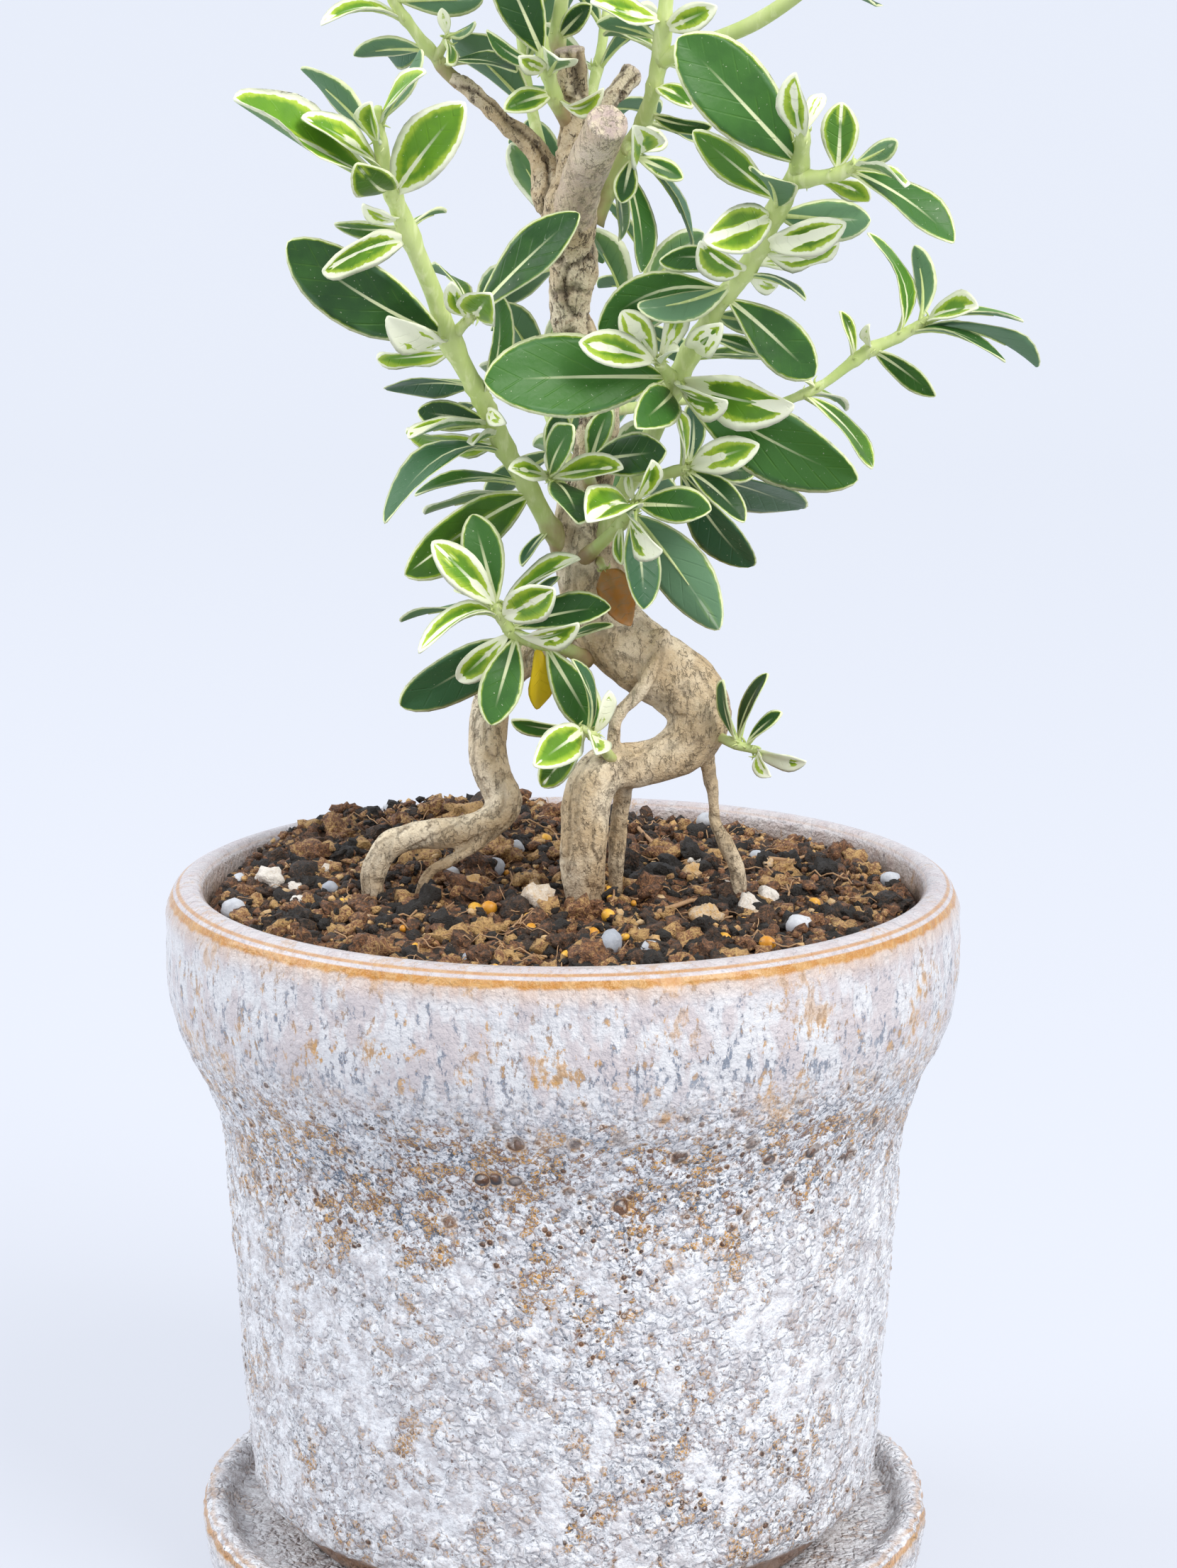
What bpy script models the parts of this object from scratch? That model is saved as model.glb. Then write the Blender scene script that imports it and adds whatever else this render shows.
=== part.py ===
"""A serissa bonsai: a variegated plant rooted in the soil of a glazed pot that stands on its saucer."""
import math
import random

import bmesh
import bpy
from mathutils import Quaternion, Vector, noise
from mathutils.bvhtree import BVHTree

MM = 0.001
OBJECT_NAME = "serissa_bonsai"

# Pot and saucer, millimetres above the saucer's underside
POT_RIM_HEIGHT = 95.0
POT_RIM_RADIUS = 50.0
POT_WALL = 4.2
POT_FLOOR_TOP = 19.0
POT_FOOT_BOTTOM = 10.3
DRAIN_RADIUS = 6.0
SAUCER_FLOOR = 10.0
SAUCER_RIM_HEIGHT = 12.6
SAUCER_RIM_RADIUS = 47.4
ROUND_STEPS = 32

# Soil
SOIL_LEVEL = 92.2
SOIL_MOUND = 4.6
SOIL_MOUND_CENTRE = (-16.0, 24.0)
SOIL_MOUND_SPREAD = 26.0
SOIL_CRUMB = 0.9
SOIL_RINGS = 5
SOIL_STEPS = 24

# Clearances and thicknesses
GAP = 0.3
BLADE_THICKNESS = 0.62
LEAF_CLEAR = 0.3
TRUNK_SIDES = 8
ROOT_SIDES = 6
STEM_SIDES = 6

# The plant is laid out as it is seen from the front, through an upright window of millimetres
EYE = Vector((0.75, -411.35, 190.8))
EYE_TILT = 0.2020
EYE_TURN = 0.006
WINDOW_DISTANCE = 422.6
WINDOW_CENTRE = (75.0, 99.93)


def sighted(across, down, depth):
    """Return the point that shows at this place of the window, this far behind the pot's axis."""
    right = (across - WINDOW_CENTRE[0]) / WINDOW_DISTANCE
    below = (down - WINDOW_CENTRE[1]) / WINDOW_DISTANCE
    forward = math.cos(EYE_TILT) - math.sin(EYE_TILT) * below
    height = -math.sin(EYE_TILT) - math.cos(EYE_TILT) * below
    ray = Vector((math.cos(EYE_TURN) * right + math.sin(EYE_TURN) * forward,
                  math.cos(EYE_TURN) * forward - math.sin(EYE_TURN) * right, height))
    return EYE + ray * ((depth - EYE.y) / ray.y)


# Woody routes: across, down and depth in the window, and radius
TRUNK = (
    (73.4, 24.0, -3, 2.9), (72.6, 28.0, -2, 3.2), (73.0, 33.0, 0, 3.1), (72.6, 40.0, 1.5, 2.7),
    (75.0, 45.5, 1.5, 2.4), (76.4, 51.5, 1, 2.4), (75.8, 57.5, 0.5, 2.6), (74.6, 63.5, 0, 3.3),
    (74.6, 69.0, 0, 4.0), (75.5, 74.0, 0, 4.3), (77.3, 79.5, 0, 4.6), (82.0, 84.0, -1, 4.6),
    (86.8, 87.3, -2, 4.5), (89.2, 91.0, -3, 4.0), (87.2, 95.0, -4, 3.3), (82.3, 97.3, -5, 2.7),
    (77.8, 97.8, -6.5, 2.9), (75.3, 100.2, -8, 3.1), (74.5, 105.0, -8.5, 3.0), (74.3, 110.0, -8.3, 2.8),
    (74.5, 114.0, -8, 2.4), (74.6, 120.5, -8, 1.9),
)
LIMBS = {
    "cut_limb_front": ((73.0, 27.5, -3, 2.6), (74.6, 22.0, -8, 2.6), (77.6, 15.4, -16, 2.5)),
    "cut_limb_middle": ((72.6, 25.5, -2, 2.2), (73.0, 19.0, -2.5, 2.0), (73.2, 13.0, -3, 1.9),
                        (72.5, 6.0, -4, 1.9)),
    "cut_limb_right": ((73.5, 24.0, 1, 1.6), (76.0, 17.0, 3, 1.4), (78.0, 12.6, 4, 1.3), (81.0, 8.8, 5, 1.2)),
    "limb_left": ((72.0, 29.0, 0, 2.3), (70.2, 25.0, 0.5, 2.1), (69.3, 21.5, 1, 1.6), (67.4, 18.0, 1.5, 1.2),
                  (64.2, 15.5, 2, 1.0), (60.6, 12.0, 2.5, 0.95), (57.6, 9.8, 3, 0.9)),
    "root_left": ((76.0, 77.5, 1, 2.6), (71.5, 81.5, 3, 2.5), (66.8, 84.0, 3, 2.3), (63.2, 88.0, 2, 2.4),
                  (62.0, 94.5, 0, 2.4), (62.6, 98.5, -1, 2.4), (64.3, 102.0, -2, 2.3), (62.6, 104.8, -3, 2.1),
                  (58.0, 106.0, -4, 1.9), (52.2, 106.6, -4.5, 1.7), (49.0, 108.3, -5, 1.7),
                  (47.6, 111.0, -5, 1.6), (47.5, 114.0, -5, 1.5), (47.6, 119.5, -5, 1.2)),
    "root_left_under": ((63.2, 104.5, -3, 0.9), (61.0, 107.6, -4.5, 0.8), (57.5, 109.6, -5.5, 0.7),
                        (54.4, 111.6, -6, 0.7), (53.0, 115.5, -6, 0.6), (52.8, 119.5, -6, 0.5)),
    "root_right_thin": ((89.6, 92.5, -2.5, 1.0), (90.2, 97.0, -3, 0.9), (90.8, 101.0, -3, 0.8),
                        (91.1, 104.5, -3, 0.85), (92.4, 107.3, -3, 1.0), (93.8, 110.5, -3, 1.1),
                        (94.1, 114.0, -3, 1.0), (94.2, 119.0, -3, 0.8)),
    "root_wrapping": ((84.4, 80.5, -3, 1.1), (83.6, 84.0, -5.6, 1.0), (82.4, 86.8, -6.4, 0.95),
                      (80.6, 89.2, -6.6, 0.9), (78.7, 91.2, -6.6, 0.9), (78.2, 93.6, -6.6, 0.95),
                      (78.2, 97.5, -7, 1.0)),
    "root_behind": ((79.5, 98.6, -5, 1.3), (79.2, 102.0, -4, 1.1), (78.7, 107.0, -3, 1.1),
                    (78.4, 112.0, -2.5, 1.0), (78.4, 117.5, -2.5, 0.8)),
}

# Leafy stems in the same way. A leaf is root, tip, breadth, look, how far its tip comes forward and,
# where its midline swerves, the place that it passes half way
STEMS = {
    "spray_left": (
        ((71.8, 69.3, -1, 1.7), (70.2, 67.3, -3, 1.6), (67.0, 61.5, -5, 1.55), (64.5, 57.5, -7, 1.6),
         (62.5, 53.0, -9, 1.5), (60.5, 49.3, -11, 1.5), (57.3, 43.2, -14, 1.75), (55.3, 37.5, -17, 1.5),
         (52.4, 30.5, -21, 1.5), (50.2, 25.0, -24, 1.35), (49.0, 21.0, -26, 1.25), (48.2, 16.0, -28, 0.9),
         (48.2, 13.6, -29, 0.6)),
        ((57.4, 43.2, -14, 0.9), (59.2, 41.2, -15, 0.75), (60.4, 40.2, -16, 0.6)),
    ),
    "spray_upper_left": (
        ((58.6, 10.6, 3, 0.8), (57.0, 9.2, 3, 1.0), (55.5, 7.2, 2.5, 1.0), (54.0, 5.5, 2, 1.0),
         (52.5, 3.5, 1.5, 0.9), (51.0, 1.5, 1, 0.9), (49.5, -1.5, 0, 0.85), (48.0, -7.0, -1, 0.75),
         (47.6, -12.5, -1, 0.5)),
        ((55.6, 7.3, 2.5, 0.7), (56.5, 5.9, 1, 0.6), (57.0, 4.8, 0, 0.5)),
    ),
    "spray_top_left": (
        ((72.6, 15.6, -3, 1.1), (71.0, 13.2, -5, 1.2), (70.2, 10.6, -6.4, 1.15), (69.6, 8.4, -6.6, 1.1),
         (68.6, 4.4, -6.6, 1.2), (66.6, 0.2, -6.4, 1.1), (64.7, -5.0, -6, 0.9), (63.6, -12.0, -5, 0.55)),
    ),
    "spray_crown": (
        ((72.0, 9.0, -2, 1.2), (71.0, 5.0, -0.5, 1.3), (71.6, 0.0, -0.5, 1.2), (72.6, -7.0, -1, 1.0),
         (72.4, -15.0, -2, 0.8), (71.6, -22.0, -3, 0.5)),
    ),
    "spray_top_right": (
        ((75.4, 28.2, 1, 1.5), (78.2, 23.0, 1, 1.5), (80.3, 18.5, -1, 1.4), (82.0, 15.5, -3.5, 1.3),
         (83.4, 11.0, -6, 1.3), (84.4, 5.0, -8, 1.3), (84.9, 0.0, -9, 1.2), (85.5, -7.0, -9, 1.0),
         (86.5, -14.0, -8, 0.8), (87.0, -20.5, -7, 0.5)),
        ((84.2, 7.6, -7, 1.1), (88.0, 6.0, -9, 1.3), (92.0, 4.7, -10.5, 1.3), (96.5, 2.7, -12, 1.35),
         (102.0, -1.0, -14, 1.2), (107.5, -6.0, -15, 1.0), (111.0, -12.0, -15, 0.75),
         (112.6, -17.5, -14, 0.5)),
        ((80.2, 18.8, -1.5, 0.9), (80.5, 19.6, -8, 0.9), (80.7, 19.8, -14, 0.8)),
    ),
    "spray_right": (
        ((75.6, 71.5, -1, 1.5), (78.3, 64.8, -4, 1.6), (81.2, 59.7, -7, 1.65), (83.0, 55.5, -8.5, 1.65),
         (84.8, 51.5, -10, 1.65), (86.3, 48.4, -11, 1.85), (88.2, 44.5, -12.5, 1.65), (90.2, 41.0, -14, 1.45),
         (92.3, 37.8, -15.5, 1.4), (94.8, 34.8, -17, 1.5), (97.0, 31.0, -19, 1.6), (98.6, 27.5, -21, 1.65),
         (100.5, 24.0, -23, 1.55), (101.9, 21.0, -25, 1.45), (102.3, 18.0, -27, 1.1),
         (102.4, 16.0, -28, 0.7)),
        ((101.2, 22.8, -24, 1.2), (104.5, 22.6, -26, 1.1), (107.5, 21.9, -27, 1.05), (109.2, 20.7, -28, 0.6)),
        ((86.0, 49.0, -11, 1.0), (84.8, 47.2, -13.5, 0.95), (83.9, 46.2, -15.5, 0.7)),
        ((80.8, 60.4, -6.8, 0.9), (83.0, 60.8, -8, 0.9), (85.5, 60.2, -9, 0.9), (87.7, 59.6, -10, 0.7)),
    ),
    "spray_far_right": (
        ((76.4, 52.6, 2, 1.1), (80.5, 52.0, 8, 1.0), (88.0, 50.9, 12, 0.95), (93.5, 51.6, 13, 0.9),
         (97.5, 51.9, 14, 0.85), (101.5, 50.6, 14, 0.8), (105.0, 48.9, 14, 0.8), (108.3, 46.4, 14, 1.0),
         (111.0, 44.5, 14, 1.2), (114.0, 43.2, 14, 1.0), (116.5, 41.8, 14, 0.8), (118.4, 40.6, 14, 0.55)),
    ),
    "spray_middle": (((74.8, 65.2, -2, 1.1), (72.3, 62.6, -7.5, 0.95), (70.0, 60.9, -10.5, 0.75)),),
    "spray_middle_right": (((75.3, 62.2, -1.5, 1.0), (75.0, 60.2, -6.5, 0.95), (74.7, 59.0, -9, 0.7)),),
    "spray_lower_right": (((74.6, 71.0, -3.2, 1.1), (78.0, 67.9, -8.6, 1.05), (80.5, 65.3, -11, 0.95),
                           (81.0, 63.9, -12, 0.7)),),
    "spray_lower_left": (((74.6, 84.0, -2, 1.2), (71.4, 82.4, -7, 1.15), (67.5, 81.7, -10, 1.05),
                          (65.2, 80.5, -11.5, 1.0), (63.9, 78.7, -12.5, 0.9), (63.2, 76.9, -13, 0.6)),),
    "sprout_knee": (((78.6, 97.8, -7, 1.0), (76.8, 95.2, -10.5, 0.85), (75.2, 93.5, -12, 0.75),
                     (74.0, 92.7, -13, 0.5)),),
    "sprout_bend": (((89.5, 92.5, -3, 0.9), (93.0, 94.6, -6.5, 0.8), (96.6, 95.7, -8, 0.5)),),
    "dry_leaf": (((76.2, 71.0, -1.5, 0.8), (76.6, 71.9, -5.2, 0.65), (77.0, 72.6, -6.4, 0.5)),),
}
LEAVES = {
    "spray_left": (
        (67.5, 62.8, 51.5, 73.3, 6.0, "green", 7, 60.0, 66.6), (67.0, 61.8, 52.8, 63.2, 2.7, "dark", 3),
        (64.5, 57.8, 49.0, 66.8, 4.5, "teal", 9, 56.6, 58.8), (64.0, 57.0, 52.5, 59.2, 1.5, "green", 3),
        (62.8, 54.2, 53.2, 52.4, 3.8, "dark", 4), (62.9, 54.8, 52.0, 55.9, 1.8, "cream", 8),
        (63.6, 55.8, 60.2, 56.7, 1.3, "young", 5), (62.0, 52.0, 58.8, 53.2, 1.4, "teal", -3),
        (62.3, 52.0, 64.5, 54.0, 1.6, "young", 3), (63.6, 56.4, 51.8, 55.2, 1.5, "old", -6),
        (67.6, 62.6, 54.0, 65.5, 1.7, "old", -7), (69.9, 67.2, 66.5, 72.2, 1.8, "teal", 4),
        (57.3, 43.0, 36.6, 30.8, 7.6, "dark", 6), (52.2, 30.3, 41.0, 34.6, 3.2, "cream", 9, 46.2, 31.3),
        (57.2, 43.4, 49.3, 40.3, 1.8, "cream", 8), (57.4, 44.2, 47.3, 41.4, 0.9, "dark", -2, 52.0, 42.0),
        (58.2, 45.2, 48.0, 45.8, 1.4, "old", -5, 53.0, 44.8),
        (60.4, 49.4, 49.0, 49.5, 0.8, "teal", -7, 55.5, 48.0),
        (61.4, 51.0, 63.2, 37.2, 2.8, "dark", 3), (60.3, 40.3, 73.9, 27.2, 6.0, "dark", 1),
        (60.0, 40.7, 57.5, 35.9, 2.1, "young", 5), (60.0, 40.7, 54.8, 34.4, 1.8, "green", -9, 58.0, 36.3),
        (60.3, 40.3, 62.6, 37.4, 1.3, "young", 5), (51.8, 29.3, 42.6, 28.6, 1.5, "green", -3),
        (51.4, 28.0, 46.2, 26.0, 0.9, "cream", 4), (51.8, 29.0, 56.8, 27.0, 0.8, "green", -4),
        (49.8, 24.0, 29.7, 12.6, 6.0, "young", 12, 38.6, 18.9), (49.2, 21.8, 38.3, 15.0, 3.6, "young", 6),
        (48.6, 18.5, 38.3, 8.6, 2.0, "sage", 3), (50.1, 24.6, 59.3, 13.0, 6.8, "young", 9),
        (48.4, 16.5, 53.8, 6.3, 2.0, "sage", 1), (48.4, 16.0, 54.3, 9.2, 2.4, "old", 7),
        (48.6, 18.0, 47.3, 13.0, 1.6, "young", 4), (49.9, 24.0, 45.4, 20.8, 1.4, "green", 8),
    ),
    "spray_upper_left": (
        (51.8, 2.6, 40.8, 3.2, 2.5, "young", 2, 46.4, 1.5), (54.5, 6.2, 45.0, 7.0, 1.9, "sage", -1),
        (54.2, 5.8, 49.0, 6.4, 2.5, "teal", -6), (57.0, 4.8, 56.3, 1.0, 1.6, "young", 1),
        (57.0, 4.8, 60.6, 3.0, 1.8, "sage", 4), (56.9, 5.2, 57.0, 8.2, 1.6, "green", 5),
        (56.2, 8.4, 65.9, 9.2, 2.8, "dark", 6), (56.8, 9.0, 61.6, 14.6, 1.8, "old", 5),
        (50.2, 0.0, 61.6, 0.0, 4.0, "sage", 1),
    ),
    "spray_top_left": (
        (69.4, 7.6, 63.2, -5.5, 5.8, "dark", 4), (69.8, 8.8, 62.0, 3.8, 1.5, "dark", -2),
        (69.8, 9.0, 66.1, 7.2, 1.8, "young", 6), (70.0, 9.6, 71.2, 7.6, 1.6, "cream", 6),
        (69.0, 5.6, 69.0, 0.3, 1.8, "dark", 3), (70.5, 11.6, 64.2, 14.1, 3.3, "green", 4),
        (70.8, 12.4, 77.0, 11.2, 1.5, "young", 4, 74.0, 13.4),
    ),
    "spray_crown": ((71.1, 5.0, 75.4, 0.6, 3.0, "dark", 3),),
    "spray_top_right": (
        (82.0, 15.0, 65.0, 17.3, 4.2, "dark", 4, 74.0, 15.4), (83.6, 10.5, 88.2, 13.8, 3.2, "green", 3),
        (82.3, 14.6, 90.8, 16.0, 1.4, "dark", 3), (82.0, 15.4, 88.8, 18.1, 1.8, "teal", 1),
        (84.6, 3.4, 91.4, 0.8, 3.2, "young", 6), (84.7, 2.6, 75.2, 0.3, 4.0, "young", 7, 80.0, 2.0),
        (84.4, 4.6, 76.0, 2.9, 1.8, "sage", 1), (84.2, 6.0, 77.0, 4.5, 1.8, "green", -4),
        (84.2, 8.6, 90.0, 9.8, 2.2, "old", 2), (78.0, 23.4, 79.1, 30.5, 2.2, "green", -1),
        (79.2, 21.0, 81.7, 34.8, 3.3, "dark", -3), (80.3, 18.6, 88.3, 31.3, 1.8, "teal", -6, 85.2, 24.6),
        (80.6, 19.7, 80.7, 16.0, 2.5, "young", 3), (80.7, 19.7, 84.6, 17.2, 3.4, "young", 4),
        (80.6, 19.8, 78.6, 22.6, 1.9, "cream", 4), (80.6, 19.8, 79.2, 25.9, 2.9, "dark", 3),
        (80.7, 19.8, 87.1, 22.8, 2.6, "dark", 3), (80.7, 19.9, 84.3, 24.4, 1.6, "dark", 6),
    ),
    "spray_right": (
        (83.9, 46.2, 73.7, 43.6, 4.6, "young", 6), (83.9, 46.2, 79.2, 39.6, 4.0, "young", 3),
        (84.0, 46.4, 86.4, 44.7, 1.5, "cream", 4), (84.0, 46.0, 87.0, 38.2, 2.7, "young", 1),
        (85.2, 48.2, 61.6, 48.6, 10.6, "dark", 9), (85.6, 49.6, 81.0, 54.6, 5.0, "dark", 1),
        (93.3, 36.6, 81.4, 39.4, 4.8, "sage", 8), (92.6, 37.4, 76.2, 42.0, 5.0, "dark", 0, 84.0, 36.8),
        (94.8, 34.8, 84.0, 33.2, 2.8, "dark", 3, 89.4, 32.6), (95.0, 34.6, 89.2, 30.7, 2.5, "young", 10),
        (95.3, 34.3, 100.3, 34.4, 2.0, "young", 3), (94.8, 35.2, 98.9, 36.6, 1.7, "young", 8),
        (95.2, 34.8, 102.7, 38.3, 1.2, "dark", -3), (92.3, 37.9, 103.8, 48.0, 6.4, "dark", -1),
        (90.6, 40.4, 97.4, 41.2, 3.1, "sage", 5), (88.0, 45.0, 92.1, 41.2, 3.0, "cream", 8),
        (89.2, 43.0, 97.0, 45.3, 2.4, "dark", 4), (87.6, 46.0, 98.1, 45.8, 2.3, "green", 9),
        (87.0, 48.6, 101.3, 51.7, 4.8, "cream", 10), (86.6, 49.0, 109.4, 61.2, 7.6, "dark", 5),
        (86.8, 48.8, 92.7, 51.1, 0.9, "cream", 14), (101.8, 21.0, 86.3, 4.8, 9.4, "dark", 4),
        (102.3, 17.8, 101.4, 9.2, 3.4, "young", 6), (102.3, 17.2, 104.9, 12.0, 2.2, "young", -3),
        (106.8, 22.0, 107.3, 13.0, 4.4, "green", 2), (108.2, 21.4, 114.4, 18.0, 2.6, "sage", 3),
        (108.0, 21.6, 121.6, 31.0, 4.8, "dark", 4), (108.6, 21.2, 115.4, 23.8, 1.5, "young", 9),
        (103.0, 22.8, 110.8, 25.6, 1.4, "old", -3, 107.5, 23.0), (98.7, 27.2, 111.0, 28.1, 5.2, "sage", 0),
        (97.2, 30.6, 107.9, 28.4, 3.6, "cream", 7), (96.2, 32.4, 107.0, 30.9, 1.0, "brown", 3),
        (98.4, 27.8, 89.6, 30.6, 5.0, "young", 5), (99.2, 26.3, 97.2, 22.3, 1.9, "dark", 6),
        (99.6, 25.6, 88.3, 16.6, 3.3, "green", -1, 94.6, 21.2), (87.3, 59.6, 86.1, 52.2, 1.5, "young", 4),
        (87.6, 59.4, 88.0, 51.6, 2.7, "teal", -3), (87.7, 59.5, 96.8, 56.6, 4.3, "young", 6),
        (87.0, 60.0, 94.9, 66.6, 3.7, "dark", 5), (87.7, 59.7, 96.3, 60.2, 3.5, "dark", 1),
        (86.6, 60.0, 95.9, 72.2, 4.4, "teal", -6), (86.0, 60.2, 102.2, 64.8, 1.5, "teal", -5, 95.0, 61.0),
    ),
    "spray_far_right": (
        (109.0, 45.8, 107.0, 39.6, 1.7, "green", 1), (110.6, 44.6, 110.8, 41.3, 1.2, "cream", 3),
        (111.0, 44.8, 119.3, 50.5, 2.4, "dark", 2, 115.0, 46.8),
        (114.6, 42.8, 110.5, 29.6, 2.6, "green", 0, 114.8, 36.4),
        (117.6, 41.1, 116.6, 31.2, 2.9, "sage", -3), (117.8, 41.0, 124.7, 39.2, 4.3, "young", 4),
        (118.2, 40.7, 130.5, 41.0, 1.8, "green", 0, 124.2, 40.3),
        (116.2, 42.0, 128.2, 46.2, 2.1, "dark", 2, 121.6, 42.6),
        (116.8, 41.7, 132.2, 46.8, 1.1, "teal", -4, 125.0, 43.4), (102.0, 50.5, 111.2, 59.8, 3.2, "green", 1),
        (102.4, 50.2, 107.8, 52.3, 1.4, "old", -3), (104.0, 49.5, 99.4, 47.6, 2.0, "green", 0),
    ),
    "spray_middle": (
        (70.0, 60.9, 64.8, 59.8, 3.2, "young", 2), (70.0, 60.9, 73.1, 54.2, 4.3, "dark", 4),
        (70.2, 61.0, 79.5, 59.7, 3.8, "young", 5), (70.3, 61.2, 73.7, 66.8, 4.8, "dark", 5),
        (70.0, 60.8, 70.2, 57.2, 1.6, "young", 4), (71.0, 61.8, 71.5, 52.3, 3.5, "dark", -4),
        (70.6, 61.4, 68.0, 56.8, 1.7, "old", -4),
    ),
    "spray_middle_right": (
        (74.7, 59.0, 85.0, 57.5, 5.6, "dark", 2), (75.0, 60.0, 77.8, 52.0, 3.4, "dark", -8),
    ),
    "spray_lower_right": (
        (80.6, 65.0, 74.8, 66.6, 6.0, "young", 6), (81.0, 64.4, 90.7, 65.0, 4.8, "dark", 4),
        (81.0, 64.0, 83.1, 58.6, 1.9, "young", 4), (80.9, 64.2, 80.2, 60.2, 1.2, "young", 6),
        (80.3, 65.4, 82.0, 77.7, 4.6, "teal", 6), (80.8, 65.0, 84.4, 70.2, 1.4, "cream", 9),
        (80.4, 65.5, 91.7, 80.3, 6.5, "sage", 3, 85.4, 71.4), (81.0, 64.1, 87.7, 61.8, 1.4, "dark", 0),
        (80.3, 65.6, 89.9, 68.8, 3.4, "old", -4), (79.4, 66.6, 79.3, 72.0, 1.6, "green", 3),
    ),
    "spray_lower_left": (
        (63.3, 77.3, 60.2, 65.5, 5.2, "dark", -1), (63.2, 77.2, 55.0, 69.0, 4.6, "young", 3),
        (63.6, 78.2, 58.0, 75.0, 2.4, "dark", -5), (63.6, 78.0, 74.0, 71.2, 2.9, "young", 1),
        (64.0, 78.9, 70.7, 75.0, 4.0, "young", 5), (64.8, 80.2, 77.9, 77.5, 4.8, "dark", 3),
        (65.0, 80.5, 73.8, 79.4, 1.2, "cream", 8), (63.8, 78.6, 53.3, 83.3, 3.0, "young", 3, 59.6, 78.6),
        (65.8, 80.9, 62.6, 92.5, 5.3, "dark", 5), (69.0, 82.0, 75.7, 93.3, 5.3, "dark", 3),
        (65.2, 80.6, 58.3, 86.7, 3.5, "young", 0), (66.4, 81.3, 51.0, 90.0, 5.5, "teal", -5, 60.0, 84.6),
        (63.5, 78.0, 51.0, 79.2, 1.9, "green", -4), (68.6, 82.0, 68.5, 90.4, 3.0, "old", 0),
        (70.0, 82.2, 78.2, 79.7, 1.6, "dark", 2), (65.4, 80.6, 71.3, 73.5, 2.0, "dark", -4),
    ),
    "sprout_knee": (
        (74.4, 92.9, 68.0, 97.7, 4.8, "young", 4), (75.0, 93.4, 69.0, 100.3, 4.0, "green", 0),
        (75.2, 93.5, 76.0, 96.2, 2.6, "young", 5), (75.8, 94.0, 77.7, 88.0, 1.8, "cream", 3),
        (74.4, 92.9, 65.1, 91.8, 1.3, "dark", 2), (75.2, 93.4, 72.8, 84.0, 1.4, "teal", -1),
    ),
    "sprout_bend": (
        (93.6, 94.8, 97.9, 85.8, 2.1, "dark", 0), (94.6, 95.1, 99.7, 90.8, 2.1, "dark", 3),
        (96.0, 95.5, 102.8, 97.1, 1.6, "cream", 3), (96.2, 95.6, 98.2, 99.0, 1.5, "young", 3),
        (94.0, 94.9, 92.1, 86.6, 1.1, "teal", 0),
    ),
    "dry_leaf": ((76.9, 72.5, 80.4, 79.8, 4.6, "brown", 1.5),),
}

# Stems that no leaf was read for: the side away from the window, and the crown above it
GROWN_STEMS = {
    "spray_back_low": ((75.6, 72.5, 3, 1.3), (77.0, 67.0, 12, 1.2), (77.5, 61.0, 20, 1.0),
                       (77.0, 55.0, 27, 0.8), (76.6, 51.0, 31, 0.5)),
    "spray_back_left": ((74.4, 61.0, 2.5, 1.2), (71.5, 57.0, 10, 1.1), (69.5, 50.0, 18, 0.9),
                        (69.0, 43.5, 24, 0.5)),
    "spray_back_right": ((75.3, 47.5, 3, 1.2), (79.0, 43.5, 12, 1.1), (81.5, 38.5, 20, 0.9),
                         (82.8, 33.0, 26, 0.5)),
    "spray_back_middle": ((72.8, 38.0, 3.5, 1.2), (71.5, 33.0, 13, 1.1), (71.4, 27.0, 22, 0.9),
                          (72.0, 20.5, 28, 0.5)),
    "spray_back_top": ((73.6, 22.0, 2.5, 1.2), (74.6, 15.0, 10, 1.1), (76.5, 7.0, 17, 0.9),
                       (77.5, -1.0, 23, 0.7), (77.5, -8.0, 27, 0.5)),
    "spray_back_crown": ((70.0, 23.0, 2, 1.1), (68.0, 15.0, 9, 1.0), (66.5, 6.0, 14, 0.8),
                         (65.5, -3.0, 18, 0.65), (65.0, -11.0, 21, 0.5)),
}
CROWN_STARTS = {
    "spray_upper_left": ((0, 0.70),), "spray_top_left": ((0, 0.72),), "spray_crown": ((0, 0.42),),
    "spray_top_right": ((0, 0.74), (1, 0.55)),
}
PAIR_STEP = 7.2
GROWN_LENGTH = (11.0, 17.0)
GROWN_SEED = 7

# Fold, arch and ripple of a blade by its look, as parts of its half breadth and length
LOOKS = {
    "dark": (0.22, 0.07, 0.10), "green": (0.20, 0.09, 0.12), "young": (0.45, 0.08, 0.14),
    "cream": (0.35, 0.10, 0.18), "sage": (0.20, 0.07, 0.10), "teal": (0.25, 0.09, 0.10),
    "old": (0.25, 0.10, 0.20), "brown": (0.50, 0.10, 0.35),
}
UNDERSIDES = ("sage",)
NATURAL_BREADTH = 0.40

# Where a blade's rows stand along it, from the smallest blades to the largest
TINY_ROWS = (0.0, 0.30, 0.79, 1.0)
SHORT_ROWS = (0.0, 0.22, 0.52, 0.83, 1.0)
LONG_ROWS = (0.0, 0.17, 0.40, 0.65, 0.87, 1.0)
TINY_BLADE = 8.5
LONG_BLADE = 14.5
WIDE_BLADE = 6.4


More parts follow.
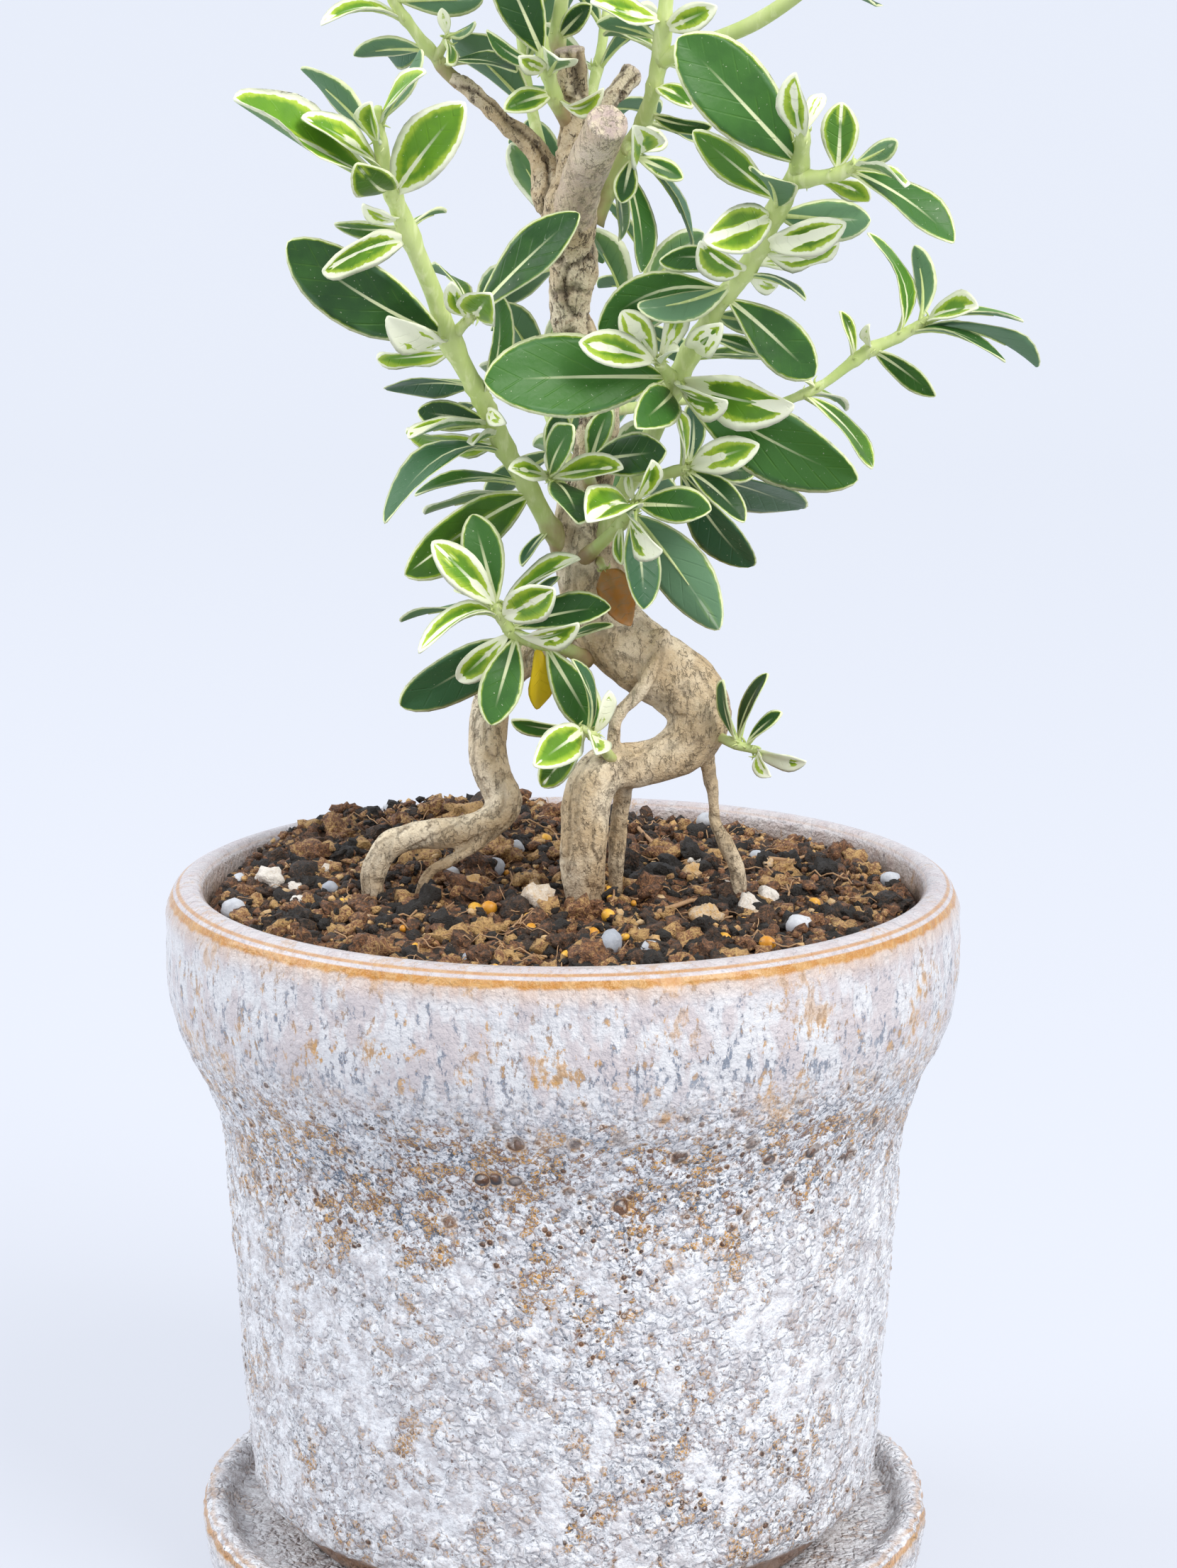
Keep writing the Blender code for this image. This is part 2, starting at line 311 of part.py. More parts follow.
def smooth_route(points, per_span):
    """Return places and radii along a smooth curve through a route's own points."""
    known = [(sighted(a, d, y), r) for a, d, y, r in points]
    ends = [known[0]] + known + [known[-1]]
    way = []
    for before, start, end, after in zip(ends, ends[1:], ends[2:], ends[3:]):
        for step in range(per_span):
            t = step / per_span
            pull = [-t + 2 * t ** 2 - t ** 3, 2 - 5 * t ** 2 + 3 * t ** 3,
                    t + 4 * t ** 2 - 3 * t ** 3, t ** 3 - t ** 2]
            place = sum((p[0] * w for p, w in zip((before, start, end, after), pull)), Vector()) / 2
            way.append((place, start[1] + (end[1] - start[1]) * t))
    return way + [known[-1]]


class Leaf:
    """One blade: where it is rooted, where its tip is, and how it is bent between them."""

    def __init__(self, root, tip, breadth, look, facing, middle=None, draws=None):
        self.root, self.tip, self.look = root, tip, look
        self.length = (tip - root).length
        axis = (tip - root).normalized()
        fold, arch, ripple = LOOKS[look]
        chance = draws or random.Random(round(root.x * 31 + tip.z * 17 + breadth * 7, 1))
        natural = NATURAL_BREADTH * self.length
        roll = math.acos(min(1.0, breadth / natural)) if breadth < natural else 0.0
        self.breadth = max(breadth, natural)
        if look in UNDERSIDES:
            roll = math.pi - roll
        self.normal = (facing - axis * facing.dot(axis)).normalized()
        self.normal.rotate(Quaternion(axis, roll * (1 if chance.random() < 0.5 else -1)))
        self.side = axis.cross(self.normal)
        self.swerve = middle - (root + tip) / 2 if middle else Vector()
        self.fold = fold * chance.uniform(0.7, 1.3)
        self.arch = arch * chance.uniform(0.4, 1.5) * (0.4 if middle else 1.0)
        self.ripple = ripple * chance.uniform(0.5, 1.2)
        self.turns = chance.uniform(0.0, math.tau)
        self.twist = chance.uniform(-0.35, 0.35)
        self.draw = chance.random()

    def half(self, u):
        """Half breadth at u of the length: wedge-shaped base, broadest past the middle, short point."""
        return self.breadth / 2 * math.sin(math.pi * u ** 1.22) ** 0.66 if 0 < u < 1 else 0.0

    def at(self, u, v, spread=0.0):
        """Place of the blade at u of its length and v of its half breadth."""
        half = self.half(u) + (spread if 0 < u < 1 else 0.0)
        swing = self.twist * (u - 0.5)
        side = self.side * math.cos(swing) + self.normal * math.sin(swing)
        up = self.normal * math.cos(swing) - self.side * math.sin(swing)
        rise = self.arch * self.length * 4 * u * (1 - u) + self.fold * half * abs(v) ** 1.3
        rise += self.ripple * half * v * abs(v) * math.sin(self.turns + 9.0 * u)
        middle = self.root + (self.tip - self.root) * u + self.swerve * (4 * u * (1 - u))
        return middle + side * (half * v) + up * rise


def centre(bm):
    """Return the mean place of a mesh's corners."""
    return sum((vert.co for vert in bm.verts), Vector()) / len(bm.verts)


def blade_mesh(leaf, rows, columns, thickness, spread=0.0):
    """Shape a strip of faces to the leaf, close its ends and give it its thickness."""
    bm = bmesh.new()
    bmesh.ops.create_grid(bm, x_segments=len(rows) - 1, y_segments=columns, size=1.0)
    for vert in bm.verts:
        row = round((vert.co.x + 1) / 2 * (len(rows) - 1))
        vert.co = leaf.at(rows[row], vert.co.y, spread)
    bmesh.ops.remove_doubles(bm, verts=bm.verts, dist=0.001)
    bmesh.ops.triangulate(bm, faces=bm.faces)
    bmesh.ops.recalc_face_normals(bm, faces=bm.faces)
    middle = centre(bm)
    bmesh.ops.solidify(bm, geom=bm.faces[:], thickness=thickness)
    bmesh.ops.translate(bm, vec=middle - centre(bm), verts=bm.verts)
    bmesh.ops.recalc_face_normals(bm, faces=bm.faces)
    return bm


def nearest_on_stems(ways, across, down):
    """Return the place on a spray's stems that shows nearest to a place in the window."""
    best = None
    for way in ways:
        for (start, _), (end, _) in zip(way, way[1:]):
            for step in range(5):
                place = start.lerp(end, step / 4)
                mark = sighted(across, down, place.y)
                miss = (mark - place).length
                if best is None or miss < best[0]:
                    best = (miss, place)
    return best[1].copy()


def read_leaf(ways, reading, shift):
    """Make a leaf from its reading, its tip moved along its sight line by shift."""
    across, down, tip_across, tip_down, breadth, look, forward = reading[:7]
    root = nearest_on_stems(ways, across, down)
    seen = math.hypot(tip_across - across, tip_down - down)
    reach = forward
    if breadth > 0.5 * seen:
        reach += math.copysign(math.sqrt(max((breadth / 0.45) ** 2 - seen ** 2, 0.0)), forward)
    depth = root.y - reach + shift
    tip = sighted(tip_across, tip_down, depth)
    middle = None
    if len(reading) > 7:
        middle = sighted(reading[7], reading[8], (root.y + depth) / 2)
    facing = (EYE - (root + tip) / 2).normalized() + Vector((0, 0, 0.25))
    root += (tip - root).normalized() * 0.25
    return Leaf(root, tip, breadth, look, facing, middle)


def grown_leaf(start, along, turn, lean, length, look, draws):
    """Make a leaf that springs from a stem at an angle and faces up it."""
    out = along.orthogonal().normalized()
    out.rotate(Quaternion(along, turn))
    tip = start + (out * math.sin(lean) + along * math.cos(lean)) * length
    tip.z += 0.1 * length
    facing = along + Vector((0, 0, 0.6))
    return Leaf(start + (tip - start).normalized() * 0.25, tip, length * draws.uniform(0.38, 0.5), look,
                facing, None, draws)


def way_at(way, part):
    """Return place and direction at a part of a way's length."""
    spans = [(b[0] - a[0]).length for a, b in zip(way, way[1:])]
    left = part * sum(spans)
    for (start, _), (end, _), span in zip(way, way[1:], spans):
        if left <= span:
            return start.lerp(end, left / span), (end - start).normalized()
        left -= span
    return way[-1][0].copy(), (way[-1][0] - way[-2][0]).normalized()


class Crowd:
    """The blades and stems placed so far, asked whether a new blade would touch them."""

    def __init__(self):
        self.members = []

    def add(self, owner, bm):
        corners = [v.co for v in bm.verts]
        low = Vector([min(c[i] for c in corners) for i in range(3)])
        high = Vector([max(c[i] for c in corners) for i in range(3)])
        self.members.append((owner, low, high, BVHTree.FromBMesh(bm)))
        bm.free()

    def touches(self, bm, spare_owner=None):
        corners = [v.co for v in bm.verts]
        low = Vector([min(c[i] for c in corners) for i in range(3)])
        high = Vector([max(c[i] for c in corners) for i in range(3)])
        tree = BVHTree.FromBMesh(bm)
        for owner, other_low, other_high, other in self.members:
            if owner == spare_owner:
                continue
            if all(low[i] < other_high[i] and other_low[i] < high[i] for i in range(3)):
                if tree.overlap(other):
                    return True
        return False


def coarse_blade(leaf):
    """Make a blade with as many faces as its size calls for."""
    if leaf.breadth > WIDE_BLADE:
        return blade_mesh(leaf, LONG_ROWS, 2, BLADE_THICKNESS)
    rows = LONG_ROWS if leaf.length > LONG_BLADE else TINY_ROWS if leaf.length < TINY_BLADE else SHORT_ROWS
    return blade_mesh(leaf, rows, 1, BLADE_THICKNESS)


def guard(leaf, start=0.0):
    """Make the swollen blade that must touch nothing of another stem."""
    rows = [start] + [row for row in SHORT_ROWS if row > start + 0.05]
    return blade_mesh(leaf, rows, 2, BLADE_THICKNESS + 2 * LEAF_CLEAR, LEAF_CLEAR)


def settle(crowd, owner, tries):
    """Place the first of the tried leaves that is clear of the rest, the same spray's own included."""
    for same_too in (True, False):
        for leaf in tries:
            outer = guard(leaf, 0.3)
            clear = not crowd.touches(outer, None if same_too else owner)
            outer.free()
            if not clear:
                continue
            whole, bare = guard(leaf), coarse_blade(leaf)
            clear = not crowd.touches(whole, owner) and not crowd.touches(bare, owner)
            whole.free()
            if clear:
                crowd.add(owner, bare)
                return leaf
            bare.free()
    return None


def grown_tries(way, part, turn, draws, size):
    """Return one leaf of a pair in the ways that it may swing, from the same draws."""
    start, along = way_at(way, part)
    lean, length = draws.uniform(0.95, 1.3), draws.uniform(*GROWN_LENGTH) * size
    look = draws.choice(("dark", "dark", "dark", "green", "young", "young", "teal"))
    seed = draws.random()
    for swing in (0.0, 0.3, -0.3, 0.6, -0.6, 0.9, -0.9):
        for tuck in (0.0, -0.3, 0.25):
            yield grown_leaf(start, along, turn + swing, lean + tuck, length, look, random.Random(seed))


def grow(crowd, owner, way, first, draws):
    """Set crosswise pairs of leaves along a stem, smaller towards its tip, with a closing tuft."""
    leaves = []
    length = sum((b[0] - a[0]).length for a, b in zip(way, way[1:]))
    pairs = max(1, round(length * (1 - first) / PAIR_STEP))
    for pair in range(pairs + 1):
        part = first + (1 - first) * pair / pairs * 0.985
        size = 1.0 - 0.35 * pair / pairs
        turn = pair * math.pi / 2 + draws.uniform(-0.3, 0.3)
        for half_turn in (0.0, math.pi):
            leaf = settle(crowd, owner, grown_tries(way, part, turn + half_turn, draws, size))
            if leaf:
                leaves.append(leaf)
    return leaves


def foliage(crowd):
    """Return every spray's stem ways and leaves, each leaf swung clear of the others."""
    sprays = {}
    for name, routes in STEMS.items():
        sprays[name] = ([smooth_route(route, 1) for route in routes], [])
    for name, route in GROWN_STEMS.items():
        sprays[name] = ([smooth_route(route, 1)], [])
    for name, (ways, leaves) in sprays.items():
        for way in ways:
            crowd.add(name, tube_mesh(way, STEM_SIDES, LEAF_CLEAR))
    for name, readings in LEAVES.items():
        ways, leaves = sprays[name]
        for reading in readings:
            shifts = (0, 1, -1, 2, -2, 3, -3, 4, -4, 5, -5, 6.5, -6.5, 8, -8, 10, -10, 12, -12)
            leaf = settle(crowd, name, (read_leaf(ways, reading, shift) for shift in shifts))
            if leaf:
                leaves.append(leaf)
    draws = random.Random(GROWN_SEED)
    for name, starts in CROWN_STARTS.items():
        ways, leaves = sprays[name]
        for index, first in starts:
            leaves.extend(grow(crowd, name, ways[index], first, draws))
    for name in GROWN_STEMS:
        ways, leaves = sprays[name]
        leaves.extend(grow(crowd, name, ways[0], 0.3, draws))
    return sprays


def tube_mesh(way, sides, swell=0.0):
    """Sweep a round section along a way and return the closed tube."""
    curve = bpy.data.curves.new("way", "CURVE")
    curve.dimensions = "3D"
    curve.bevel_depth = 1.0
    curve.bevel_resolution = (sides - 4) // 2
    curve.use_fill_caps = True
    spline = curve.splines.new("POLY")
    spline.points.add(len(way) - 1)
    for point, (place, radius) in zip(spline.points, way):
        point.co = (*place, 1.0)
        point.radius = radius + swell
    guide = bpy.data.objects.new("way", curve)
    bpy.context.scene.collection.objects.link(guide)
    depsgraph = bpy.context.evaluated_depsgraph_get()
    mesh = bpy.data.meshes.new_from_object(guide.evaluated_get(depsgraph))
    bm = bmesh.new()
    bm.from_mesh(mesh)
    bmesh.ops.remove_doubles(bm, verts=bm.verts, dist=0.001)
    bmesh.ops.recalc_face_normals(bm, faces=bm.faces)
    bpy.data.objects.remove(guide)
    bpy.data.curves.remove(curve)
    bpy.data.meshes.remove(mesh)
    return bm


# Part-making helpers
def material(name, colour, roughness):
    """Return a plain finish."""
    finish = bpy.data.materials.new(name)
    finish.use_nodes = True
    shader = finish.node_tree.nodes["Principled BSDF"]
    shader.inputs["Base Color"].default_value = (*colour, 1.0)
    shader.inputs["Roughness"].default_value = roughness
    shader.inputs["Metallic"].default_value = 0.0
    return finish


def object_from(bm, name, collection, finish=None):
    """Turn a bmesh drawn in millimetres into a named object in metres."""
    bmesh.ops.scale(bm, vec=(MM, MM, MM), verts=bm.verts)
    mesh = bpy.data.meshes.new(name)
    bm.to_mesh(mesh)
    bm.free()
    thing = bpy.data.objects.new(name, mesh)
    collection.objects.link(thing)
    if finish:
        mesh.materials.append(finish)
    return thing


def apply_modifiers(thing):
    """Fix an object's modifiers into its mesh."""
    depsgraph = bpy.context.evaluated_depsgraph_get()
    mesh = bpy.data.meshes.new_from_object(thing.evaluated_get(depsgraph))
    old = thing.data
    thing.modifiers.clear()
    thing.data = mesh
    bpy.data.meshes.remove(old)
    mesh.name = thing.name


def join(pieces, name, collection, finish):
    """Unite overlapping closed meshes into one solid."""
    whole = object_from(pieces[0], name, collection, finish)
    operands = bpy.data.collections.new("operands")
    bpy.context.scene.collection.children.link(operands)
    for index, bm in enumerate(pieces[1:]):
        object_from(bm, f"{name}_{index}", operands)
    if len(pieces) > 1:
        union = whole.modifiers.new("union", "BOOLEAN")
        union.operation = "UNION"
        union.operand_type = "COLLECTION"
        union.collection = operands
        union.solver = "EXACT"
        apply_modifiers(whole)
    for operand in list(operands.objects):
        bpy.data.objects.remove(operand)
    bpy.data.collections.remove(operands)
    keep_main_body(whole)
    return whole


def cut(thing, cutter):
    """Take a cutter's shape out of an object."""
    difference = thing.modifiers.new("clearance", "BOOLEAN")
    difference.operation = "DIFFERENCE"
    difference.object = cutter
    difference.solver = "EXACT"
    apply_modifiers(thing)
    keep_main_body(thing)


def keep_main_body(thing):
    """Drop the scraps and sealed hollows that joining or cutting left beside the main body."""
    bm = bmesh.new()
    bm.from_mesh(thing.data)
    bmesh.ops.remove_doubles(bm, verts=bm.verts, dist=2e-6)
    bmesh.ops.dissolve_degenerate(bm, edges=bm.edges, dist=1e-6)
    left = set(bm.faces)
    bodies = []
    while left:
        body, front = set(), [left.pop()]
        while front:
            face = front.pop()
            body.add(face)
            for edge in face.edges:
                for other in edge.link_faces:
                    if other in left:
                        left.discard(other)
                        front.append(other)
        bodies.append(body)
    main = max(bodies, key=len)
    spare = [face for body in bodies if body is not main for face in body]
    bmesh.ops.delete(bm, geom=spare, context="FACES")
    bmesh.ops.triangulate(bm, faces=bm.faces)
    bm.to_mesh(thing.data)
    bm.free()


def turned(name, profile, steps, collection, finish, closed):
    """Turn a profile of radius and height, in millimetres, about the upright axis."""
    bm = bmesh.new()
    corners = [bm.verts.new((radius * MM, 0.0, height * MM)) for radius, height in profile]
    pairs = list(zip(corners, corners[1:]))
    if closed:
        pairs.append((corners[-1], corners[0]))
    for pair in pairs:
        bm.edges.new(pair)
    mesh = bpy.data.meshes.new(name)
    bm.to_mesh(mesh)
    bm.free()
    thing = bpy.data.objects.new(name, mesh)
    collection.objects.link(thing)
    mesh.materials.append(finish)
    screw = thing.modifiers.new("turn", "SCREW")
    screw.steps = screw.render_steps = steps
    screw.use_merge_vertices = True
    screw.merge_threshold = 0.00001
    apply_modifiers(thing)
    thing.data.shade_smooth()
    thing.data.set_sharp_from_angle(angle=math.radians(40))
    return thing


def pot_profile():
    """Return the pot's section as a closed outline, down its outside and back up its inside."""
    rim, lip = POT_RIM_HEIGHT, POT_RIM_RADIUS
    outside = [(lip - 2.3, rim), (lip - 0.7, rim - 0.8), (lip + 0.2, rim - 3.0), (lip + 0.4, rim - 11.0),
               (lip - 0.4, rim - 16.0), (lip - 1.6, rim - 19.5), (lip - 4.4, rim - 25.0),
               (lip - 6.2, rim - 30.0), (lip - 6.7, rim - 35.0), (lip - 9.0, 22.0), (lip - 9.6, 16.4),
               (lip - 11.0, 14.4), (36.2, 13.8)]
    foot = [(35.6, POT_FOOT_BOTTOM), (31.6, POT_FOOT_BOTTOM), (30.8, 13.4), (DRAIN_RADIUS, 13.4),
            (DRAIN_RADIUS, POT_FLOOR_TOP)]
    inside = [(lip - 12.0, POT_FLOOR_TOP), (lip - 10.8, 60.0), (lip - 5.6, 77.0),
              (lip - POT_WALL - 0.2, rim - 0.9), (lip - POT_WALL + 0.7, rim)]
    return outside + foot + inside


def make_pot(collection):
    """Make the turned pot with its collar, its foot ring and its drain hole."""
    finish = material("pot_glaze", (0.74, 0.72, 0.74), 0.3)
    return turned("pot", pot_profile(), ROUND_STEPS, collection, finish, True)


def make_saucer(collection):
    """Make the shallow saucer under the pot."""
    rim, edge = SAUCER_RIM_RADIUS, SAUCER_RIM_HEIGHT
    profile = [(0.0, SAUCER_FLOOR), (rim - 4.4, SAUCER_FLOOR), (rim - 2.9, edge - 0.5), (rim - 1.7, edge),
               (rim - 0.3, edge - 0.6), (rim, edge - 1.8), (rim - 0.8, 5.0), (rim - 2.2, 0.8),
               (rim - 3.2, 0.0), (0.0, 0.0)]
    finish = material("saucer_glaze", (0.78, 0.77, 0.78), 0.3)
    return turned("saucer", profile, ROUND_STEPS, collection, finish, False)


def soil_height(x, y):
    """Height of the soil: a mound towards the back left and crumbs all over."""
    away = math.hypot(x - SOIL_MOUND_CENTRE[0], y - SOIL_MOUND_CENTRE[1])
    mound = SOIL_MOUND * math.exp(-(away / SOIL_MOUND_SPREAD) ** 2)
    return SOIL_LEVEL + mound + SOIL_CRUMB * noise.noise(Vector((x, y, 0.0)) * 0.17)


def inner_radius(height):
    """Radius of the pot's inside at a height, from its own outline."""
    inside = pot_profile()[-5:]
    for (r0, h0), (r1, h1) in zip(inside, inside[1:]):
        if h0 <= height <= h1:
            return r0 + (r1 - r0) * (height - h0) / (h1 - h0)
    return inside[0][0]


def make_soil(collection, roots):
    """Fill the pot with soil whose top is mounded, with a hole where each root goes in."""
    steps = [POT_FLOOR_TOP + GAP, 60.0, 77.0, SOIL_LEVEL - 0.8]
    wall = [(inner_radius(h) - GAP - 0.25, h) for h in steps]
    edge = wall[-1][0] - 0.4
    top = [(edge * ring / SOIL_RINGS, SOIL_LEVEL) for ring in range(SOIL_RINGS + 1)]
    profile = top + wall[::-1] + [(0.0, steps[0])]
    finish = material("soil", (0.10, 0.07, 0.05), 0.95)
    soil = turned("soil", profile, SOIL_STEPS, collection, finish, False)
    for vert in soil.data.vertices:
        place = vert.co / MM
        if place.z > SOIL_LEVEL - 0.1:
            vert.co.z = soil_height(place.x, place.y) * MM
    cut(soil, roots)
    return soil


def woody_ways():
    """Return the trunk's and limbs' ways with the sides that each is made with."""
    ways = [(smooth_route(TRUNK, 2), TRUNK_SIDES)]
    for name, route in LIMBS.items():
        sides = ROOT_SIDES if max(point[3] for point in route) > 1.4 else STEM_SIDES
        ways.append((smooth_route(route, 1), sides))
    return ways


def make_plant(parts, cutters):
    """Make the trunk with its roots and limbs, then each leafy spray seated on it."""
    ways = woody_ways()
    bark = material("bark", (0.50, 0.40, 0.30), 0.85)
    join([tube_mesh(way, sides) for way, sides in ways], "trunk", parts, bark)
    wide = join([tube_mesh(way, sides, GAP * 1.2) for way, sides in ways], "trunk_clearance", cutters, None)
    wide.hide_render = True
    wide.display_type = "WIRE"
    crowd = Crowd()
    for way, sides in ways:
        crowd.add("trunk", tube_mesh(way, sides, GAP))
    leaf_green = material("leaf", (0.10, 0.26, 0.07), 0.4)
    withered = material("withered_leaf", (0.33, 0.20, 0.09), 0.7)
    for name, (stem_ways, leaves) in foliage(crowd).items():
        pieces = [tube_mesh(way, STEM_SIDES) for way in stem_ways]
        pieces += [coarse_blade(leaf) for leaf in leaves]
        spray = join(pieces, name, parts, withered if name == "dry_leaf" else leaf_green)
        cut(spray, wide)
    return wide


def main():
    """Clear the scene and make every piece."""
    for thing in list(bpy.data.objects):
        bpy.data.objects.remove(thing)
    parts = bpy.data.collections.new(OBJECT_NAME)
    cutters = bpy.data.collections.new("cutters")
    for collection in (parts, cutters):
        bpy.context.scene.collection.children.link(collection)
    make_saucer(parts)
    make_pot(parts)
    roots = make_plant(parts, cutters)
    make_soil(parts, roots)


main()
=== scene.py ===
"""Looks of the serissa bonsai: glazes, soil, bark, leafy stems and leaves, built around the solids."""
import math
import random

import bmesh
import bpy
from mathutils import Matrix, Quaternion, Vector, noise
from mathutils.bvhtree import BVHTree
from mathutils.kdtree import KDTree


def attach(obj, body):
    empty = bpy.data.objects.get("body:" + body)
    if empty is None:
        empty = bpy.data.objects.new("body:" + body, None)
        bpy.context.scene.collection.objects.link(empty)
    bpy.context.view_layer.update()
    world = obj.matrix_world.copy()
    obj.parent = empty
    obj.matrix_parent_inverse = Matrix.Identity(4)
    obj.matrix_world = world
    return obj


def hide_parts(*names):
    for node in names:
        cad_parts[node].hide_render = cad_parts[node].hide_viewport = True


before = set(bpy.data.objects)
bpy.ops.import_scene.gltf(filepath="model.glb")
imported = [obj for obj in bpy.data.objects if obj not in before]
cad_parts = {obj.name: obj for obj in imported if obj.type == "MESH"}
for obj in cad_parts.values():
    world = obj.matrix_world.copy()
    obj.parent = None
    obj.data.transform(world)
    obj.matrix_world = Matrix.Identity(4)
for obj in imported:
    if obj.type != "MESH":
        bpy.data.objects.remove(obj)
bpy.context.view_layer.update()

MM = 0.001

# Pot and saucer, millimetres above the saucer's underside
POT_RIM_HEIGHT = 95.0
POT_RIM_RADIUS = 50.0
POT_WALL = 4.2
POT_FLOOR_TOP = 19.0
POT_FOOT_BOTTOM = 10.3
DRAIN_RADIUS = 6.0
SAUCER_FLOOR = 10.0
SAUCER_RIM_HEIGHT = 12.6
SAUCER_RIM_RADIUS = 47.4

# Where the pot's inner wall bends
WALL_TURNS = (60.0, 77.0)

# Soil
SOIL_LEVEL = 92.2
SOIL_MOUND = 4.6
SOIL_MOUND_CENTRE = (-16.0, 24.0)
SOIL_MOUND_SPREAD = 26.0
SOIL_CRUMB = 0.9

# Clearances and thicknesses
GAP = 0.3
BLADE_THICKNESS = 0.62
LEAF_CLEAR = 0.3
TRUNK_SIDES = 8
ROOT_SIDES = 6
STEM_SIDES = 6

# The plant is laid out as it is seen from the front, through an upright window of millimetres
EYE = Vector((0.75, -411.35, 190.8))
EYE_TILT = 0.2020
EYE_TURN = 0.006
WINDOW_DISTANCE = 422.6
WINDOW_CENTRE = (75.0, 99.93)


def sighted(across, down, depth):
    """Return the point that shows at this place of the window, this far behind the pot's axis."""
    right = (across - WINDOW_CENTRE[0]) / WINDOW_DISTANCE
    below = (down - WINDOW_CENTRE[1]) / WINDOW_DISTANCE
    forward = math.cos(EYE_TILT) - math.sin(EYE_TILT) * below
    height = -math.sin(EYE_TILT) - math.cos(EYE_TILT) * below
    ray = Vector((math.cos(EYE_TURN) * right + math.sin(EYE_TURN) * forward,
                  math.cos(EYE_TURN) * forward - math.sin(EYE_TURN) * right, height))
    return EYE + ray * ((depth - EYE.y) / ray.y)


# Woody routes: across, down and depth in the window, and radius
TRUNK = (
    (73.4, 24.0, -3, 2.9), (72.6, 28.0, -2, 3.2), (73.0, 33.0, 0, 3.1), (72.6, 40.0, 1.5, 2.7),
    (75.0, 45.5, 1.5, 2.4), (76.4, 51.5, 1, 2.4), (75.8, 57.5, 0.5, 2.6), (74.6, 63.5, 0, 3.3),
    (74.6, 69.0, 0, 4.0), (75.5, 74.0, 0, 4.3), (77.3, 79.5, 0, 4.6), (82.0, 84.0, -1, 4.6),
    (86.8, 87.3, -2, 4.5), (89.2, 91.0, -3, 4.0), (87.2, 95.0, -4, 3.3), (82.3, 97.3, -5, 2.7),
    (77.8, 97.8, -6.5, 2.9), (75.3, 100.2, -8, 3.1), (74.5, 105.0, -8.5, 3.0), (74.3, 110.0, -8.3, 2.8),
    (74.5, 114.0, -8, 2.4), (74.6, 120.5, -8, 1.9),
)
LIMBS = {
    "cut_limb_front": ((73.0, 27.5, -3, 2.6), (74.6, 22.0, -8, 2.6), (77.6, 15.4, -16, 2.5)),
    "cut_limb_middle": ((72.6, 25.5, -2, 2.2), (73.0, 19.0, -2.5, 2.0), (73.2, 13.0, -3, 1.9),
                        (72.5, 6.0, -4, 1.9)),
    "cut_limb_right": ((73.5, 24.0, 1, 1.6), (76.0, 17.0, 3, 1.4), (78.0, 12.6, 4, 1.3),
                       (81.0, 8.8, 5, 1.2)),
    "limb_left": ((72.0, 29.0, 0, 2.3), (70.2, 25.0, 0.5, 2.1), (69.3, 21.5, 1, 1.6),
                  (67.4, 18.0, 1.5, 1.2), (64.2, 15.5, 2, 1.0), (60.6, 12.0, 2.5, 0.95),
                  (57.6, 9.8, 3, 0.9)),
    "root_left": ((76.0, 77.5, 1, 2.6), (71.5, 81.5, 3, 2.5), (66.8, 84.0, 3, 2.3), (63.2, 88.0, 2, 2.4),
                  (62.0, 94.5, 0, 2.4), (62.6, 98.5, -1, 2.4), (64.3, 102.0, -2, 2.3),
                  (62.6, 104.8, -3, 2.1), (58.0, 106.0, -4, 1.9), (52.2, 106.6, -4.5, 1.7),
                  (49.0, 108.3, -5, 1.7), (47.6, 111.0, -5, 1.6), (47.5, 114.0, -5, 1.5),
                  (47.6, 119.5, -5, 1.2)),
    "root_left_under": ((63.2, 104.5, -3, 0.9), (61.0, 107.6, -4.5, 0.8), (57.5, 109.6, -5.5, 0.7),
                        (54.4, 111.6, -6, 0.7), (53.0, 115.5, -6, 0.6), (52.8, 119.5, -6, 0.5)),
    "root_right_thin": ((89.6, 92.5, -2.5, 1.0), (90.2, 97.0, -3, 0.9), (90.8, 101.0, -3, 0.8),
                        (91.1, 104.5, -3, 0.85), (92.4, 107.3, -3, 1.0), (93.8, 110.5, -3, 1.1),
                        (94.1, 114.0, -3, 1.0), (94.2, 119.0, -3, 0.8)),
    "root_wrapping": ((84.4, 80.5, -3, 1.1), (83.6, 84.0, -5.6, 1.0), (82.4, 86.8, -6.4, 0.95),
                      (80.6, 89.2, -6.6, 0.9), (78.7, 91.2, -6.6, 0.9), (78.2, 93.6, -6.6, 0.95),
                      (78.2, 97.5, -7, 1.0)),
    "root_behind": ((79.5, 98.6, -5, 1.3), (79.2, 102.0, -4, 1.1), (78.7, 107.0, -3, 1.1),
                    (78.4, 112.0, -2.5, 1.0), (78.4, 117.5, -2.5, 0.8)),
}

